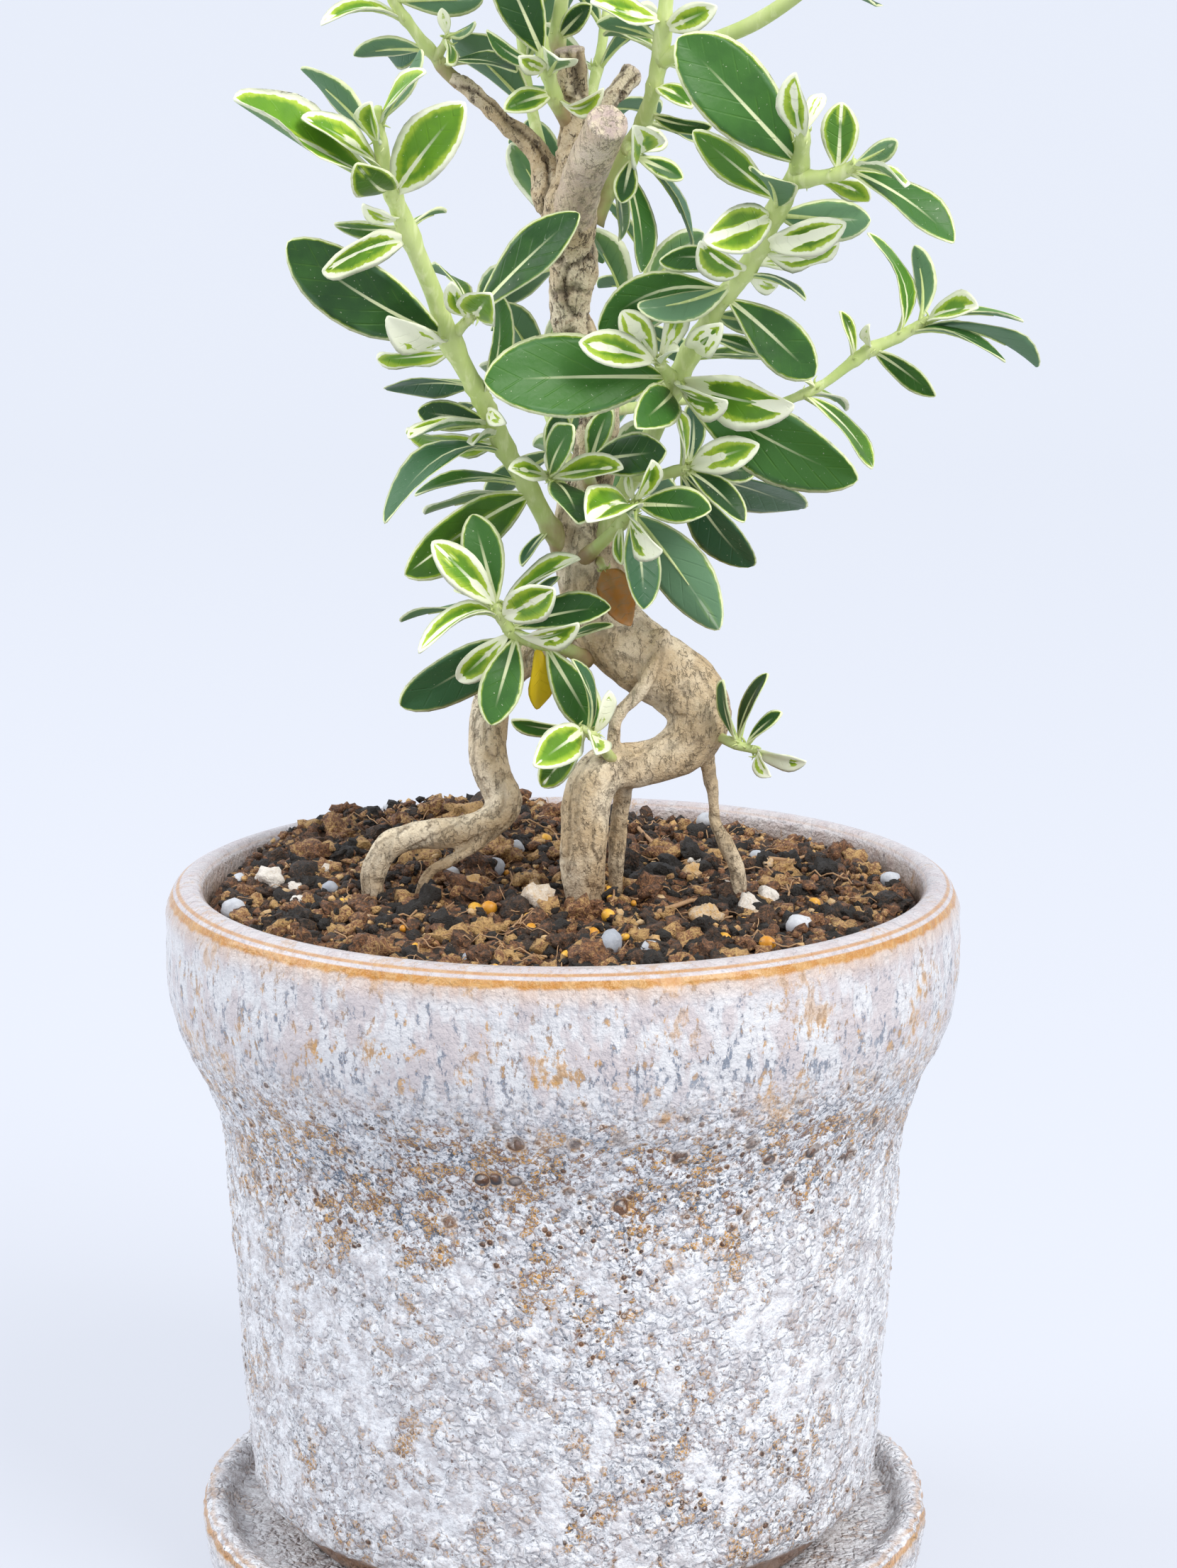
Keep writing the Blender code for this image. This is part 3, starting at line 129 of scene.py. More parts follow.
# Leafy stems in the same way. A leaf is root, tip, breadth, look, how far its tip comes forward and,
# where its midline swerves, the place that it passes half way
STEMS = {
    "spray_left": (
        ((71.8, 69.3, -1, 1.7), (70.2, 67.3, -3, 1.6), (67.0, 61.5, -5, 1.55), (64.5, 57.5, -7, 1.6),
         (62.5, 53.0, -9, 1.5), (60.5, 49.3, -11, 1.5), (57.3, 43.2, -14, 1.75), (55.3, 37.5, -17, 1.5),
         (52.4, 30.5, -21, 1.5), (50.2, 25.0, -24, 1.35), (49.0, 21.0, -26, 1.25), (48.2, 16.0, -28, 0.9),
         (48.2, 13.6, -29, 0.6)),
        ((57.4, 43.2, -14, 0.9), (59.2, 41.2, -15, 0.75), (60.4, 40.2, -16, 0.6)),
    ),
    "spray_upper_left": (
        ((58.6, 10.6, 3, 0.8), (57.0, 9.2, 3, 1.0), (55.5, 7.2, 2.5, 1.0), (54.0, 5.5, 2, 1.0),
         (52.5, 3.5, 1.5, 0.9), (51.0, 1.5, 1, 0.9), (49.5, -1.5, 0, 0.85), (48.0, -7.0, -1, 0.75),
         (47.6, -12.5, -1, 0.5)),
        ((55.6, 7.3, 2.5, 0.7), (56.5, 5.9, 1, 0.6), (57.0, 4.8, 0, 0.5)),
    ),
    "spray_top_left": (
        ((72.6, 15.6, -3, 1.1), (71.0, 13.2, -5, 1.2), (70.2, 10.6, -6.4, 1.15), (69.6, 8.4, -6.6, 1.1),
         (68.6, 4.4, -6.6, 1.2), (66.6, 0.2, -6.4, 1.1), (64.7, -5.0, -6, 0.9), (63.6, -12.0, -5, 0.55)),
    ),
    "spray_crown": (
        ((72.0, 9.0, -2, 1.2), (71.0, 5.0, -0.5, 1.3), (71.6, 0.0, -0.5, 1.2), (72.6, -7.0, -1, 1.0),
         (72.4, -15.0, -2, 0.8), (71.6, -22.0, -3, 0.5)),
    ),
    "spray_top_right": (
        ((75.4, 28.2, 1, 1.5), (78.2, 23.0, 1, 1.5), (80.3, 18.5, -1, 1.4), (82.0, 15.5, -3.5, 1.3),
         (83.4, 11.0, -6, 1.3), (84.4, 5.0, -8, 1.3), (84.9, 0.0, -9, 1.2), (85.5, -7.0, -9, 1.0),
         (86.5, -14.0, -8, 0.8), (87.0, -20.5, -7, 0.5)),
        ((84.2, 7.6, -7, 1.1), (88.0, 6.0, -9, 1.3), (92.0, 4.7, -10.5, 1.3), (96.5, 2.7, -12, 1.35),
         (102.0, -1.0, -14, 1.2), (107.5, -6.0, -15, 1.0), (111.0, -12.0, -15, 0.75),
         (112.6, -17.5, -14, 0.5)),
        ((80.2, 18.8, -1.5, 0.9), (80.5, 19.6, -8, 0.9), (80.7, 19.8, -14, 0.8)),
    ),
    "spray_right": (
        ((75.6, 71.5, -1, 1.5), (78.3, 64.8, -4, 1.6), (81.2, 59.7, -7, 1.65), (83.0, 55.5, -8.5, 1.65),
         (84.8, 51.5, -10, 1.65), (86.3, 48.4, -11, 1.85), (88.2, 44.5, -12.5, 1.65),
         (90.2, 41.0, -14, 1.45), (92.3, 37.8, -15.5, 1.4), (94.8, 34.8, -17, 1.5), (97.0, 31.0, -19, 1.6),
         (98.6, 27.5, -21, 1.65), (100.5, 24.0, -23, 1.55), (101.9, 21.0, -25, 1.45),
         (102.3, 18.0, -27, 1.1), (102.4, 16.0, -28, 0.7)),
        ((101.2, 22.8, -24, 1.2), (104.5, 22.6, -26, 1.1), (107.5, 21.9, -27, 1.05),
         (109.2, 20.7, -28, 0.6)),
        ((86.0, 49.0, -11, 1.0), (84.8, 47.2, -13.5, 0.95), (83.9, 46.2, -15.5, 0.7)),
        ((80.8, 60.4, -6.8, 0.9), (83.0, 60.8, -8, 0.9), (85.5, 60.2, -9, 0.9), (87.7, 59.6, -10, 0.7)),
    ),
    "spray_far_right": (
        ((76.4, 52.6, 2, 1.1), (80.5, 52.0, 8, 1.0), (88.0, 50.9, 12, 0.95), (93.5, 51.6, 13, 0.9),
         (97.5, 51.9, 14, 0.85), (101.5, 50.6, 14, 0.8), (105.0, 48.9, 14, 0.8), (108.3, 46.4, 14, 1.0),
         (111.0, 44.5, 14, 1.2), (114.0, 43.2, 14, 1.0), (116.5, 41.8, 14, 0.8), (118.4, 40.6, 14, 0.55)),
    ),
    "spray_middle": (((74.8, 65.2, -2, 1.1), (72.3, 62.6, -7.5, 0.95), (70.0, 60.9, -10.5, 0.75)),),
    "spray_middle_right": (((75.3, 62.2, -1.5, 1.0), (75.0, 60.2, -6.5, 0.95), (74.7, 59.0, -9, 0.7)),),
    "spray_lower_right": (((74.6, 71.0, -3.2, 1.1), (78.0, 67.9, -8.6, 1.05), (80.5, 65.3, -11, 0.95),
                           (81.0, 63.9, -12, 0.7)),),
    "spray_lower_left": (((74.6, 84.0, -2, 1.2), (71.4, 82.4, -7, 1.15), (67.5, 81.7, -10, 1.05),
                          (65.2, 80.5, -11.5, 1.0), (63.9, 78.7, -12.5, 0.9), (63.2, 76.9, -13, 0.6)),),
    "sprout_knee": (((78.6, 97.8, -7, 1.0), (76.8, 95.2, -10.5, 0.85), (75.2, 93.5, -12, 0.75),
                     (74.0, 92.7, -13, 0.5)),),
    "sprout_bend": (((89.5, 92.5, -3, 0.9), (93.0, 94.6, -6.5, 0.8), (96.6, 95.7, -8, 0.5)),),
    "dry_leaf": (((76.2, 71.0, -1.5, 0.8), (76.6, 71.9, -5.2, 0.65), (77.0, 72.6, -6.4, 0.5)),),
}
LEAVES = {
    "spray_left": (
        (67.5, 62.8, 51.5, 73.3, 6.0, "green", 7, 60.0, 66.6), (67.0, 61.8, 52.8, 63.2, 2.7, "dark", 3),
        (64.5, 57.8, 49.0, 66.8, 4.5, "teal", 9, 56.6, 58.8), (64.0, 57.0, 52.5, 59.2, 1.5, "green", 3),
        (62.8, 54.2, 53.2, 52.4, 3.8, "dark", 4), (62.9, 54.8, 52.0, 55.9, 1.8, "cream", 8),
        (63.6, 55.8, 60.2, 56.7, 1.3, "young", 5), (62.0, 52.0, 58.8, 53.2, 1.4, "teal", -3),
        (62.3, 52.0, 64.5, 54.0, 1.6, "young", 3), (63.6, 56.4, 51.8, 55.2, 1.5, "old", -6),
        (67.6, 62.6, 54.0, 65.5, 1.7, "old", -7), (69.9, 67.2, 66.5, 72.2, 1.8, "teal", 4),
        (57.3, 43.0, 36.6, 30.8, 7.6, "dark", 6), (52.2, 30.3, 41.0, 34.6, 3.2, "cream", 9, 46.2, 31.3),
        (57.2, 43.4, 49.3, 40.3, 1.8, "cream", 8), (57.4, 44.2, 47.3, 41.4, 0.9, "dark", -2, 52.0, 42.0),
        (58.2, 45.2, 48.0, 45.8, 1.4, "old", -5, 53.0, 44.8),
        (60.4, 49.4, 49.0, 49.5, 0.8, "teal", -7, 55.5, 48.0),
        (61.4, 51.0, 63.2, 37.2, 2.8, "dark", 3), (60.3, 40.3, 73.9, 27.2, 6.0, "dark", 1),
        (60.0, 40.7, 57.5, 35.9, 2.1, "young", 5), (60.0, 40.7, 54.8, 34.4, 1.8, "green", -9, 58.0, 36.3),
        (60.3, 40.3, 62.6, 37.4, 1.3, "young", 5), (51.8, 29.3, 42.6, 28.6, 1.5, "green", -3),
        (51.4, 28.0, 46.2, 26.0, 0.9, "cream", 4), (51.8, 29.0, 56.8, 27.0, 0.8, "green", -4),
        (49.8, 24.0, 29.7, 12.6, 6.0, "young", 12, 38.6, 18.9), (49.2, 21.8, 38.3, 15.0, 3.6, "young", 6),
        (48.6, 18.5, 38.3, 8.6, 2.0, "sage", 3), (50.1, 24.6, 59.3, 13.0, 6.8, "young", 9),
        (48.4, 16.5, 53.8, 6.3, 2.0, "sage", 1), (48.4, 16.0, 54.3, 9.2, 2.4, "old", 7),
        (48.6, 18.0, 47.3, 13.0, 1.6, "young", 4), (49.9, 24.0, 45.4, 20.8, 1.4, "green", 8),
    ),
    "spray_upper_left": (
        (51.8, 2.6, 40.8, 3.2, 2.5, "young", 2, 46.4, 1.5), (54.5, 6.2, 45.0, 7.0, 1.9, "sage", -1),
        (54.2, 5.8, 49.0, 6.4, 2.5, "teal", -6), (57.0, 4.8, 56.3, 1.0, 1.6, "young", 1),
        (57.0, 4.8, 60.6, 3.0, 1.8, "sage", 4), (56.9, 5.2, 57.0, 8.2, 1.6, "green", 5),
        (56.2, 8.4, 65.9, 9.2, 2.8, "dark", 6), (56.8, 9.0, 61.6, 14.6, 1.8, "old", 5),
        (50.2, 0.0, 61.6, 0.0, 4.0, "sage", 1),
    ),
    "spray_top_left": (
        (69.4, 7.6, 63.2, -5.5, 5.8, "dark", 4), (69.8, 8.8, 62.0, 3.8, 1.5, "dark", -2),
        (69.8, 9.0, 66.1, 7.2, 1.8, "young", 6), (70.0, 9.6, 71.2, 7.6, 1.6, "cream", 6),
        (69.0, 5.6, 69.0, 0.3, 1.8, "dark", 3), (70.5, 11.6, 64.2, 14.1, 3.3, "green", 4),
        (70.8, 12.4, 77.0, 11.2, 1.5, "young", 4, 74.0, 13.4),
    ),
    "spray_crown": ((71.1, 5.0, 75.4, 0.6, 3.0, "dark", 3),),
    "spray_top_right": (
        (82.0, 15.0, 65.0, 17.3, 4.2, "dark", 4, 74.0, 15.4), (83.6, 10.5, 88.2, 13.8, 3.2, "green", 3),
        (82.3, 14.6, 90.8, 16.0, 1.4, "dark", 3), (82.0, 15.4, 88.8, 18.1, 1.8, "teal", 1),
        (84.6, 3.4, 91.4, 0.8, 3.2, "young", 6), (84.7, 2.6, 75.2, 0.3, 4.0, "young", 7, 80.0, 2.0),
        (84.4, 4.6, 76.0, 2.9, 1.8, "sage", 1), (84.2, 6.0, 77.0, 4.5, 1.8, "green", -4),
        (84.2, 8.6, 90.0, 9.8, 2.2, "old", 2), (78.0, 23.4, 79.1, 30.5, 2.2, "green", -1),
        (79.2, 21.0, 81.7, 34.8, 3.3, "dark", -3), (80.3, 18.6, 88.3, 31.3, 1.8, "teal", -6, 85.2, 24.6),
        (80.6, 19.7, 80.7, 16.0, 2.5, "young", 3), (80.7, 19.7, 84.6, 17.2, 3.4, "young", 4),
        (80.6, 19.8, 78.6, 22.6, 1.9, "cream", 4), (80.6, 19.8, 79.2, 25.9, 2.9, "dark", 3),
        (80.7, 19.8, 87.1, 22.8, 2.6, "dark", 3), (80.7, 19.9, 84.3, 24.4, 1.6, "dark", 6),
    ),
    "spray_right": (
        (83.9, 46.2, 73.7, 43.6, 4.6, "young", 6), (83.9, 46.2, 79.2, 39.6, 4.0, "young", 3),
        (84.0, 46.4, 86.4, 44.7, 1.5, "cream", 4), (84.0, 46.0, 87.0, 38.2, 2.7, "young", 1),
        (85.2, 48.2, 61.6, 48.6, 10.6, "dark", 9), (85.6, 49.6, 81.0, 54.6, 5.0, "dark", 1),
        (93.3, 36.6, 81.4, 39.4, 4.8, "sage", 8), (92.6, 37.4, 76.2, 42.0, 5.0, "dark", 0, 84.0, 36.8),
        (94.8, 34.8, 84.0, 33.2, 2.8, "dark", 3, 89.4, 32.6), (95.0, 34.6, 89.2, 30.7, 2.5, "young", 10),
        (95.3, 34.3, 100.3, 34.4, 2.0, "young", 3), (94.8, 35.2, 98.9, 36.6, 1.7, "young", 8),
        (95.2, 34.8, 102.7, 38.3, 1.2, "dark", -3), (92.3, 37.9, 103.8, 48.0, 6.4, "dark", -1),
        (90.6, 40.4, 97.4, 41.2, 3.1, "sage", 5), (88.0, 45.0, 92.1, 41.2, 3.0, "cream", 8),
        (89.2, 43.0, 97.0, 45.3, 2.4, "dark", 4), (87.6, 46.0, 98.1, 45.8, 2.3, "green", 9),
        (87.0, 48.6, 101.3, 51.7, 4.8, "cream", 10), (86.6, 49.0, 109.4, 61.2, 7.6, "dark", 5),
        (86.8, 48.8, 92.7, 51.1, 0.9, "cream", 14), (101.8, 21.0, 86.3, 4.8, 9.4, "dark", 4),
        (102.3, 17.8, 101.4, 9.2, 3.4, "young", 6), (102.3, 17.2, 104.9, 12.0, 2.2, "young", -3),
        (106.8, 22.0, 107.3, 13.0, 4.4, "green", 2), (108.2, 21.4, 114.4, 18.0, 2.6, "sage", 3),
        (108.0, 21.6, 121.6, 31.0, 4.8, "dark", 4), (108.6, 21.2, 115.4, 23.8, 1.5, "young", 9),
        (103.0, 22.8, 110.8, 25.6, 1.4, "old", -3, 107.5, 23.0), (98.7, 27.2, 111.0, 28.1, 5.2, "sage", 0),
        (97.2, 30.6, 107.9, 28.4, 3.6, "cream", 7), (96.2, 32.4, 107.0, 30.9, 1.0, "brown", 3),
        (98.4, 27.8, 89.6, 30.6, 5.0, "young", 5), (99.2, 26.3, 97.2, 22.3, 1.9, "dark", 6),
        (99.6, 25.6, 88.3, 16.6, 3.3, "green", -1, 94.6, 21.2), (87.3, 59.6, 86.1, 52.2, 1.5, "young", 4),
        (87.6, 59.4, 88.0, 51.6, 2.7, "teal", -3), (87.7, 59.5, 96.8, 56.6, 4.3, "young", 6),
        (87.0, 60.0, 94.9, 66.6, 3.7, "dark", 5), (87.7, 59.7, 96.3, 60.2, 3.5, "dark", 1),
        (86.6, 60.0, 95.9, 72.2, 4.4, "teal", -6), (86.0, 60.2, 102.2, 64.8, 1.5, "teal", -5, 95.0, 61.0),
    ),
    "spray_far_right": (
        (109.0, 45.8, 107.0, 39.6, 1.7, "green", 1), (110.6, 44.6, 110.8, 41.3, 1.2, "cream", 3),
        (111.0, 44.8, 119.3, 50.5, 2.4, "dark", 2, 115.0, 46.8),
        (114.6, 42.8, 110.5, 29.6, 2.6, "green", 0, 114.8, 36.4),
        (117.6, 41.1, 116.6, 31.2, 2.9, "sage", -3), (117.8, 41.0, 124.7, 39.2, 4.3, "young", 4),
        (118.2, 40.7, 130.5, 41.0, 1.8, "green", 0, 124.2, 40.3),
        (116.2, 42.0, 128.2, 46.2, 2.1, "dark", 2, 121.6, 42.6),
        (116.8, 41.7, 132.2, 46.8, 1.1, "teal", -4, 125.0, 43.4),
        (102.0, 50.5, 111.2, 59.8, 3.2, "green", 1),
        (102.4, 50.2, 107.8, 52.3, 1.4, "old", -3), (104.0, 49.5, 99.4, 47.6, 2.0, "green", 0),
    ),
    "spray_middle": (
        (70.0, 60.9, 64.8, 59.8, 3.2, "young", 2), (70.0, 60.9, 73.1, 54.2, 4.3, "dark", 4),
        (70.2, 61.0, 79.5, 59.7, 3.8, "young", 5), (70.3, 61.2, 73.7, 66.8, 4.8, "dark", 5),
        (70.0, 60.8, 70.2, 57.2, 1.6, "young", 4), (71.0, 61.8, 71.5, 52.3, 3.5, "dark", -4),
        (70.6, 61.4, 68.0, 56.8, 1.7, "old", -4),
    ),
    "spray_middle_right": (
        (74.7, 59.0, 85.0, 57.5, 5.6, "dark", 2), (75.0, 60.0, 77.8, 52.0, 3.4, "dark", -8),
    ),
    "spray_lower_right": (
        (80.6, 65.0, 74.8, 66.6, 6.0, "young", 6), (81.0, 64.4, 90.7, 65.0, 4.8, "dark", 4),
        (81.0, 64.0, 83.1, 58.6, 1.9, "young", 4), (80.9, 64.2, 80.2, 60.2, 1.2, "young", 6),
        (80.3, 65.4, 82.0, 77.7, 4.6, "teal", 6), (80.8, 65.0, 84.4, 70.2, 1.4, "cream", 9),
        (80.4, 65.5, 91.7, 80.3, 6.5, "sage", 3, 85.4, 71.4), (81.0, 64.1, 87.7, 61.8, 1.4, "dark", 0),
        (80.3, 65.6, 89.9, 68.8, 3.4, "old", -4), (79.4, 66.6, 79.3, 72.0, 1.6, "green", 3),
    ),
    "spray_lower_left": (
        (63.3, 77.3, 60.2, 65.5, 5.2, "dark", -1), (63.2, 77.2, 55.0, 69.0, 4.6, "young", 3),
        (63.6, 78.2, 58.0, 75.0, 2.4, "dark", -5), (63.6, 78.0, 74.0, 71.2, 2.9, "young", 1),
        (64.0, 78.9, 70.7, 75.0, 4.0, "young", 5), (64.8, 80.2, 77.9, 77.5, 4.8, "dark", 3),
        (65.0, 80.5, 73.8, 79.4, 1.2, "cream", 8), (63.8, 78.6, 53.3, 83.3, 3.0, "young", 3, 59.6, 78.6),
        (65.8, 80.9, 62.6, 92.5, 5.3, "dark", 5), (69.0, 82.0, 75.7, 93.3, 5.3, "dark", 3),
        (65.2, 80.6, 58.3, 86.7, 3.5, "young", 0), (66.4, 81.3, 51.0, 90.0, 5.5, "teal", -5, 60.0, 84.6),
        (63.5, 78.0, 51.0, 79.2, 1.9, "green", -4), (68.6, 82.0, 68.5, 90.4, 3.0, "old", 0),
        (70.0, 82.2, 78.2, 79.7, 1.6, "dark", 2), (65.4, 80.6, 71.3, 73.5, 2.0, "dark", -4),
    ),
    "sprout_knee": (
        (74.4, 92.9, 68.0, 97.7, 4.8, "young", 4), (75.0, 93.4, 69.0, 100.3, 4.0, "green", 0),
        (75.2, 93.5, 76.0, 96.2, 2.6, "young", 5), (75.8, 94.0, 77.7, 88.0, 1.8, "cream", 3),
        (74.4, 92.9, 65.1, 91.8, 1.3, "dark", 2), (75.2, 93.4, 72.8, 84.0, 1.4, "teal", -1),
    ),
    "sprout_bend": (
        (93.6, 94.8, 97.9, 85.8, 2.1, "dark", 0), (94.6, 95.1, 99.7, 90.8, 2.1, "dark", 3),
        (96.0, 95.5, 102.8, 97.1, 1.6, "cream", 3), (96.2, 95.6, 98.2, 99.0, 1.5, "young", 3),
        (94.0, 94.9, 92.1, 86.6, 1.1, "teal", 0),
    ),
    "dry_leaf": ((76.9, 72.5, 80.4, 79.8, 4.6, "brown", 1.5),),
}

# Stems that no leaf was read for: the side away from the window, and the crown above it
GROWN_STEMS = {
    "spray_back_low": ((75.6, 72.5, 3, 1.3), (77.0, 67.0, 12, 1.2), (77.5, 61.0, 20, 1.0),
                       (77.0, 55.0, 27, 0.8), (76.6, 51.0, 31, 0.5)),
    "spray_back_left": ((74.4, 61.0, 2.5, 1.2), (71.5, 57.0, 10, 1.1), (69.5, 50.0, 18, 0.9),
                        (69.0, 43.5, 24, 0.5)),
    "spray_back_right": ((75.3, 47.5, 3, 1.2), (79.0, 43.5, 12, 1.1), (81.5, 38.5, 20, 0.9),
                         (82.8, 33.0, 26, 0.5)),
    "spray_back_middle": ((72.8, 38.0, 3.5, 1.2), (71.5, 33.0, 13, 1.1), (71.4, 27.0, 22, 0.9),
                          (72.0, 20.5, 28, 0.5)),
    "spray_back_top": ((73.6, 22.0, 2.5, 1.2), (74.6, 15.0, 10, 1.1), (76.5, 7.0, 17, 0.9),
                       (77.5, -1.0, 23, 0.7), (77.5, -8.0, 27, 0.5)),
    "spray_back_crown": ((70.0, 23.0, 2, 1.1), (68.0, 15.0, 9, 1.0), (66.5, 6.0, 14, 0.8),
                         (65.5, -3.0, 18, 0.65), (65.0, -11.0, 21, 0.5)),
}
CROWN_STARTS = {
    "spray_upper_left": ((0, 0.70),), "spray_top_left": ((0, 0.72),), "spray_crown": ((0, 0.42),),
    "spray_top_right": ((0, 0.74), (1, 0.55)),
}
PAIR_STEP = 7.2
GROWN_LENGTH = (11.0, 17.0)
GROWN_SEED = 7

# Fold, arch and ripple of a blade by its look, as parts of its half breadth and length
LOOKS = {
    "dark": (0.22, 0.07, 0.10), "green": (0.20, 0.09, 0.12), "young": (0.45, 0.08, 0.14),
    "cream": (0.35, 0.10, 0.18), "sage": (0.20, 0.07, 0.10), "teal": (0.25, 0.09, 0.10),
    "old": (0.25, 0.10, 0.20), "brown": (0.50, 0.10, 0.35),
}
UNDERSIDES = ("sage",)
NATURAL_BREADTH = 0.40
ROOT_INSET = 0.25

# Where a blade's rows stand along it, from the smallest blades to the largest
TINY_ROWS = (0.0, 0.30, 0.79, 1.0)
SHORT_ROWS = (0.0, 0.22, 0.52, 0.83, 1.0)
LONG_ROWS = (0.0, 0.17, 0.40, 0.65, 0.87, 1.0)
TINY_BLADE = 8.5
LONG_BLADE = 14.5
WIDE_BLADE = 6.4


def smooth_route(points, per_span):
    """Return places and radii along a smooth curve through a route's own points."""
    known = [(sighted(a, d, y), r) for a, d, y, r in points]
    ends = [known[0]] + known + [known[-1]]
    way = []
    for before, start, end, after in zip(ends, ends[1:], ends[2:], ends[3:]):
        for step in range(per_span):
            t = step / per_span
            pull = [-t + 2 * t ** 2 - t ** 3, 2 - 5 * t ** 2 + 3 * t ** 3,
                    t + 4 * t ** 2 - 3 * t ** 3, t ** 3 - t ** 2]
            place = sum((p[0] * w for p, w in zip((before, start, end, after), pull)), Vector()) / 2
            way.append((place, start[1] + (end[1] - start[1]) * t))
    return way + [known[-1]]


class Leaf:
    """One blade: where it is rooted, where its tip is, and how it is bent between them."""

    def __init__(self, root, tip, breadth, look, facing, middle=None, draws=None):
        self.root, self.tip, self.look = root, tip, look
        self.length = (tip - root).length
        axis = (tip - root).normalized()
        fold, arch, ripple = LOOKS[look]
        chance = draws or random.Random(round(root.x * 31 + tip.z * 17 + breadth * 7, 1))
        natural = NATURAL_BREADTH * self.length
        roll = math.acos(min(1.0, breadth / natural)) if breadth < natural else 0.0
        self.breadth = max(breadth, natural)
        if look in UNDERSIDES:
            roll = math.pi - roll
        self.normal = (facing - axis * facing.dot(axis)).normalized()
        self.normal.rotate(Quaternion(axis, roll * (1 if chance.random() < 0.5 else -1)))
        self.side = axis.cross(self.normal)
        self.swerve = middle - (root + tip) / 2 if middle else Vector()
        self.fold = fold * chance.uniform(0.7, 1.3)
        self.arch = arch * chance.uniform(0.4, 1.5) * (0.4 if middle else 1.0)
        self.ripple = ripple * chance.uniform(0.5, 1.2)
        self.turns = chance.uniform(0.0, math.tau)
        self.twist = chance.uniform(-0.35, 0.35)
        self.draw = chance.random()

    def half(self, u):
        """Half breadth at u of the length: wedge-shaped base, broadest past the middle, short point."""
        return self.breadth / 2 * math.sin(math.pi * u ** 1.22) ** 0.66 if 0 < u < 1 else 0.0

    def at(self, u, v, spread=0.0):
        """Place of the blade at u of its length and v of its half breadth."""
        half = self.half(u) + (spread if 0 < u < 1 else 0.0)
        swing = self.twist * (u - 0.5)
        side = self.side * math.cos(swing) + self.normal * math.sin(swing)
        up = self.normal * math.cos(swing) - self.side * math.sin(swing)
        rise = self.arch * self.length * 4 * u * (1 - u) + self.fold * half * abs(v) ** 1.3
        rise += self.ripple * half * v * abs(v) * math.sin(self.turns + 9.0 * u)
        middle = self.root + (self.tip - self.root) * u + self.swerve * (4 * u * (1 - u))
        return middle + side * (half * v) + up * rise


def centre(bm):
    """Return the mean place of a mesh's corners."""
    return sum((vert.co for vert in bm.verts), Vector()) / len(bm.verts)


def blade_mesh(leaf, rows, columns, thickness, spread=0.0):
    """Shape a strip of faces to the leaf, close its ends and give it its thickness."""
    bm = bmesh.new()
    bmesh.ops.create_grid(bm, x_segments=len(rows) - 1, y_segments=columns, size=1.0)
    for vert in bm.verts:
        row = round((vert.co.x + 1) / 2 * (len(rows) - 1))
        vert.co = leaf.at(rows[row], vert.co.y, spread)
    bmesh.ops.remove_doubles(bm, verts=bm.verts, dist=0.001)
    bmesh.ops.triangulate(bm, faces=bm.faces)
    bmesh.ops.recalc_face_normals(bm, faces=bm.faces)
    middle = centre(bm)
    bmesh.ops.solidify(bm, geom=bm.faces[:], thickness=thickness)
    bmesh.ops.translate(bm, vec=middle - centre(bm), verts=bm.verts)
    bmesh.ops.recalc_face_normals(bm, faces=bm.faces)
    return bm


def nearest_on_stems(ways, across, down):
    """Return the place on a spray's stems that shows nearest to a place in the window."""
    best = None
    for way in ways:
        for (start, _), (end, _) in zip(way, way[1:]):
            for step in range(5):
                place = start.lerp(end, step / 4)
                mark = sighted(across, down, place.y)
                miss = (mark - place).length
                if best is None or miss < best[0]:
                    best = (miss, place)
    return best[1].copy()


def read_leaf(ways, reading, shift):
    """Make a leaf from its reading, its tip moved along its sight line by shift."""
    across, down, tip_across, tip_down, breadth, look, forward = reading[:7]
    root = nearest_on_stems(ways, across, down)
    seen = math.hypot(tip_across - across, tip_down - down)
    reach = forward
    if breadth > 0.5 * seen:
        reach += math.copysign(math.sqrt(max((breadth / 0.45) ** 2 - seen ** 2, 0.0)), forward)
    depth = root.y - reach + shift
    tip = sighted(tip_across, tip_down, depth)
    middle = None
    if len(reading) > 7:
        middle = sighted(reading[7], reading[8], (root.y + depth) / 2)
    facing = (EYE - (root + tip) / 2).normalized() + Vector((0, 0, 0.25))
    root += (tip - root).normalized() * ROOT_INSET
    return Leaf(root, tip, breadth, look, facing, middle)


def grown_leaf(start, along, turn, lean, length, look, draws):
    """Make a leaf that springs from a stem at an angle and faces up it."""
    out = along.orthogonal().normalized()
    out.rotate(Quaternion(along, turn))
    tip = start + (out * math.sin(lean) + along * math.cos(lean)) * length
    tip.z += 0.1 * length
    facing = along + Vector((0, 0, 0.6))
    root = start + (tip - start).normalized() * ROOT_INSET
    return Leaf(root, tip, length * draws.uniform(0.38, 0.5), look, facing, None, draws)


def way_at(way, part):
    """Return place and direction at a part of a way's length."""
    spans = [(b[0] - a[0]).length for a, b in zip(way, way[1:])]
    left = part * sum(spans)
    for (start, _), (end, _), span in zip(way, way[1:], spans):
        if left <= span:
            return start.lerp(end, left / span), (end - start).normalized()
        left -= span
    return way[-1][0].copy(), (way[-1][0] - way[-2][0]).normalized()


def box_of(bm):
    """Return the lowest and highest corner of a mesh's box."""
    columns = list(zip(*(vert.co for vert in bm.verts)))
    return [min(column) for column in columns], [max(column) for column in columns]


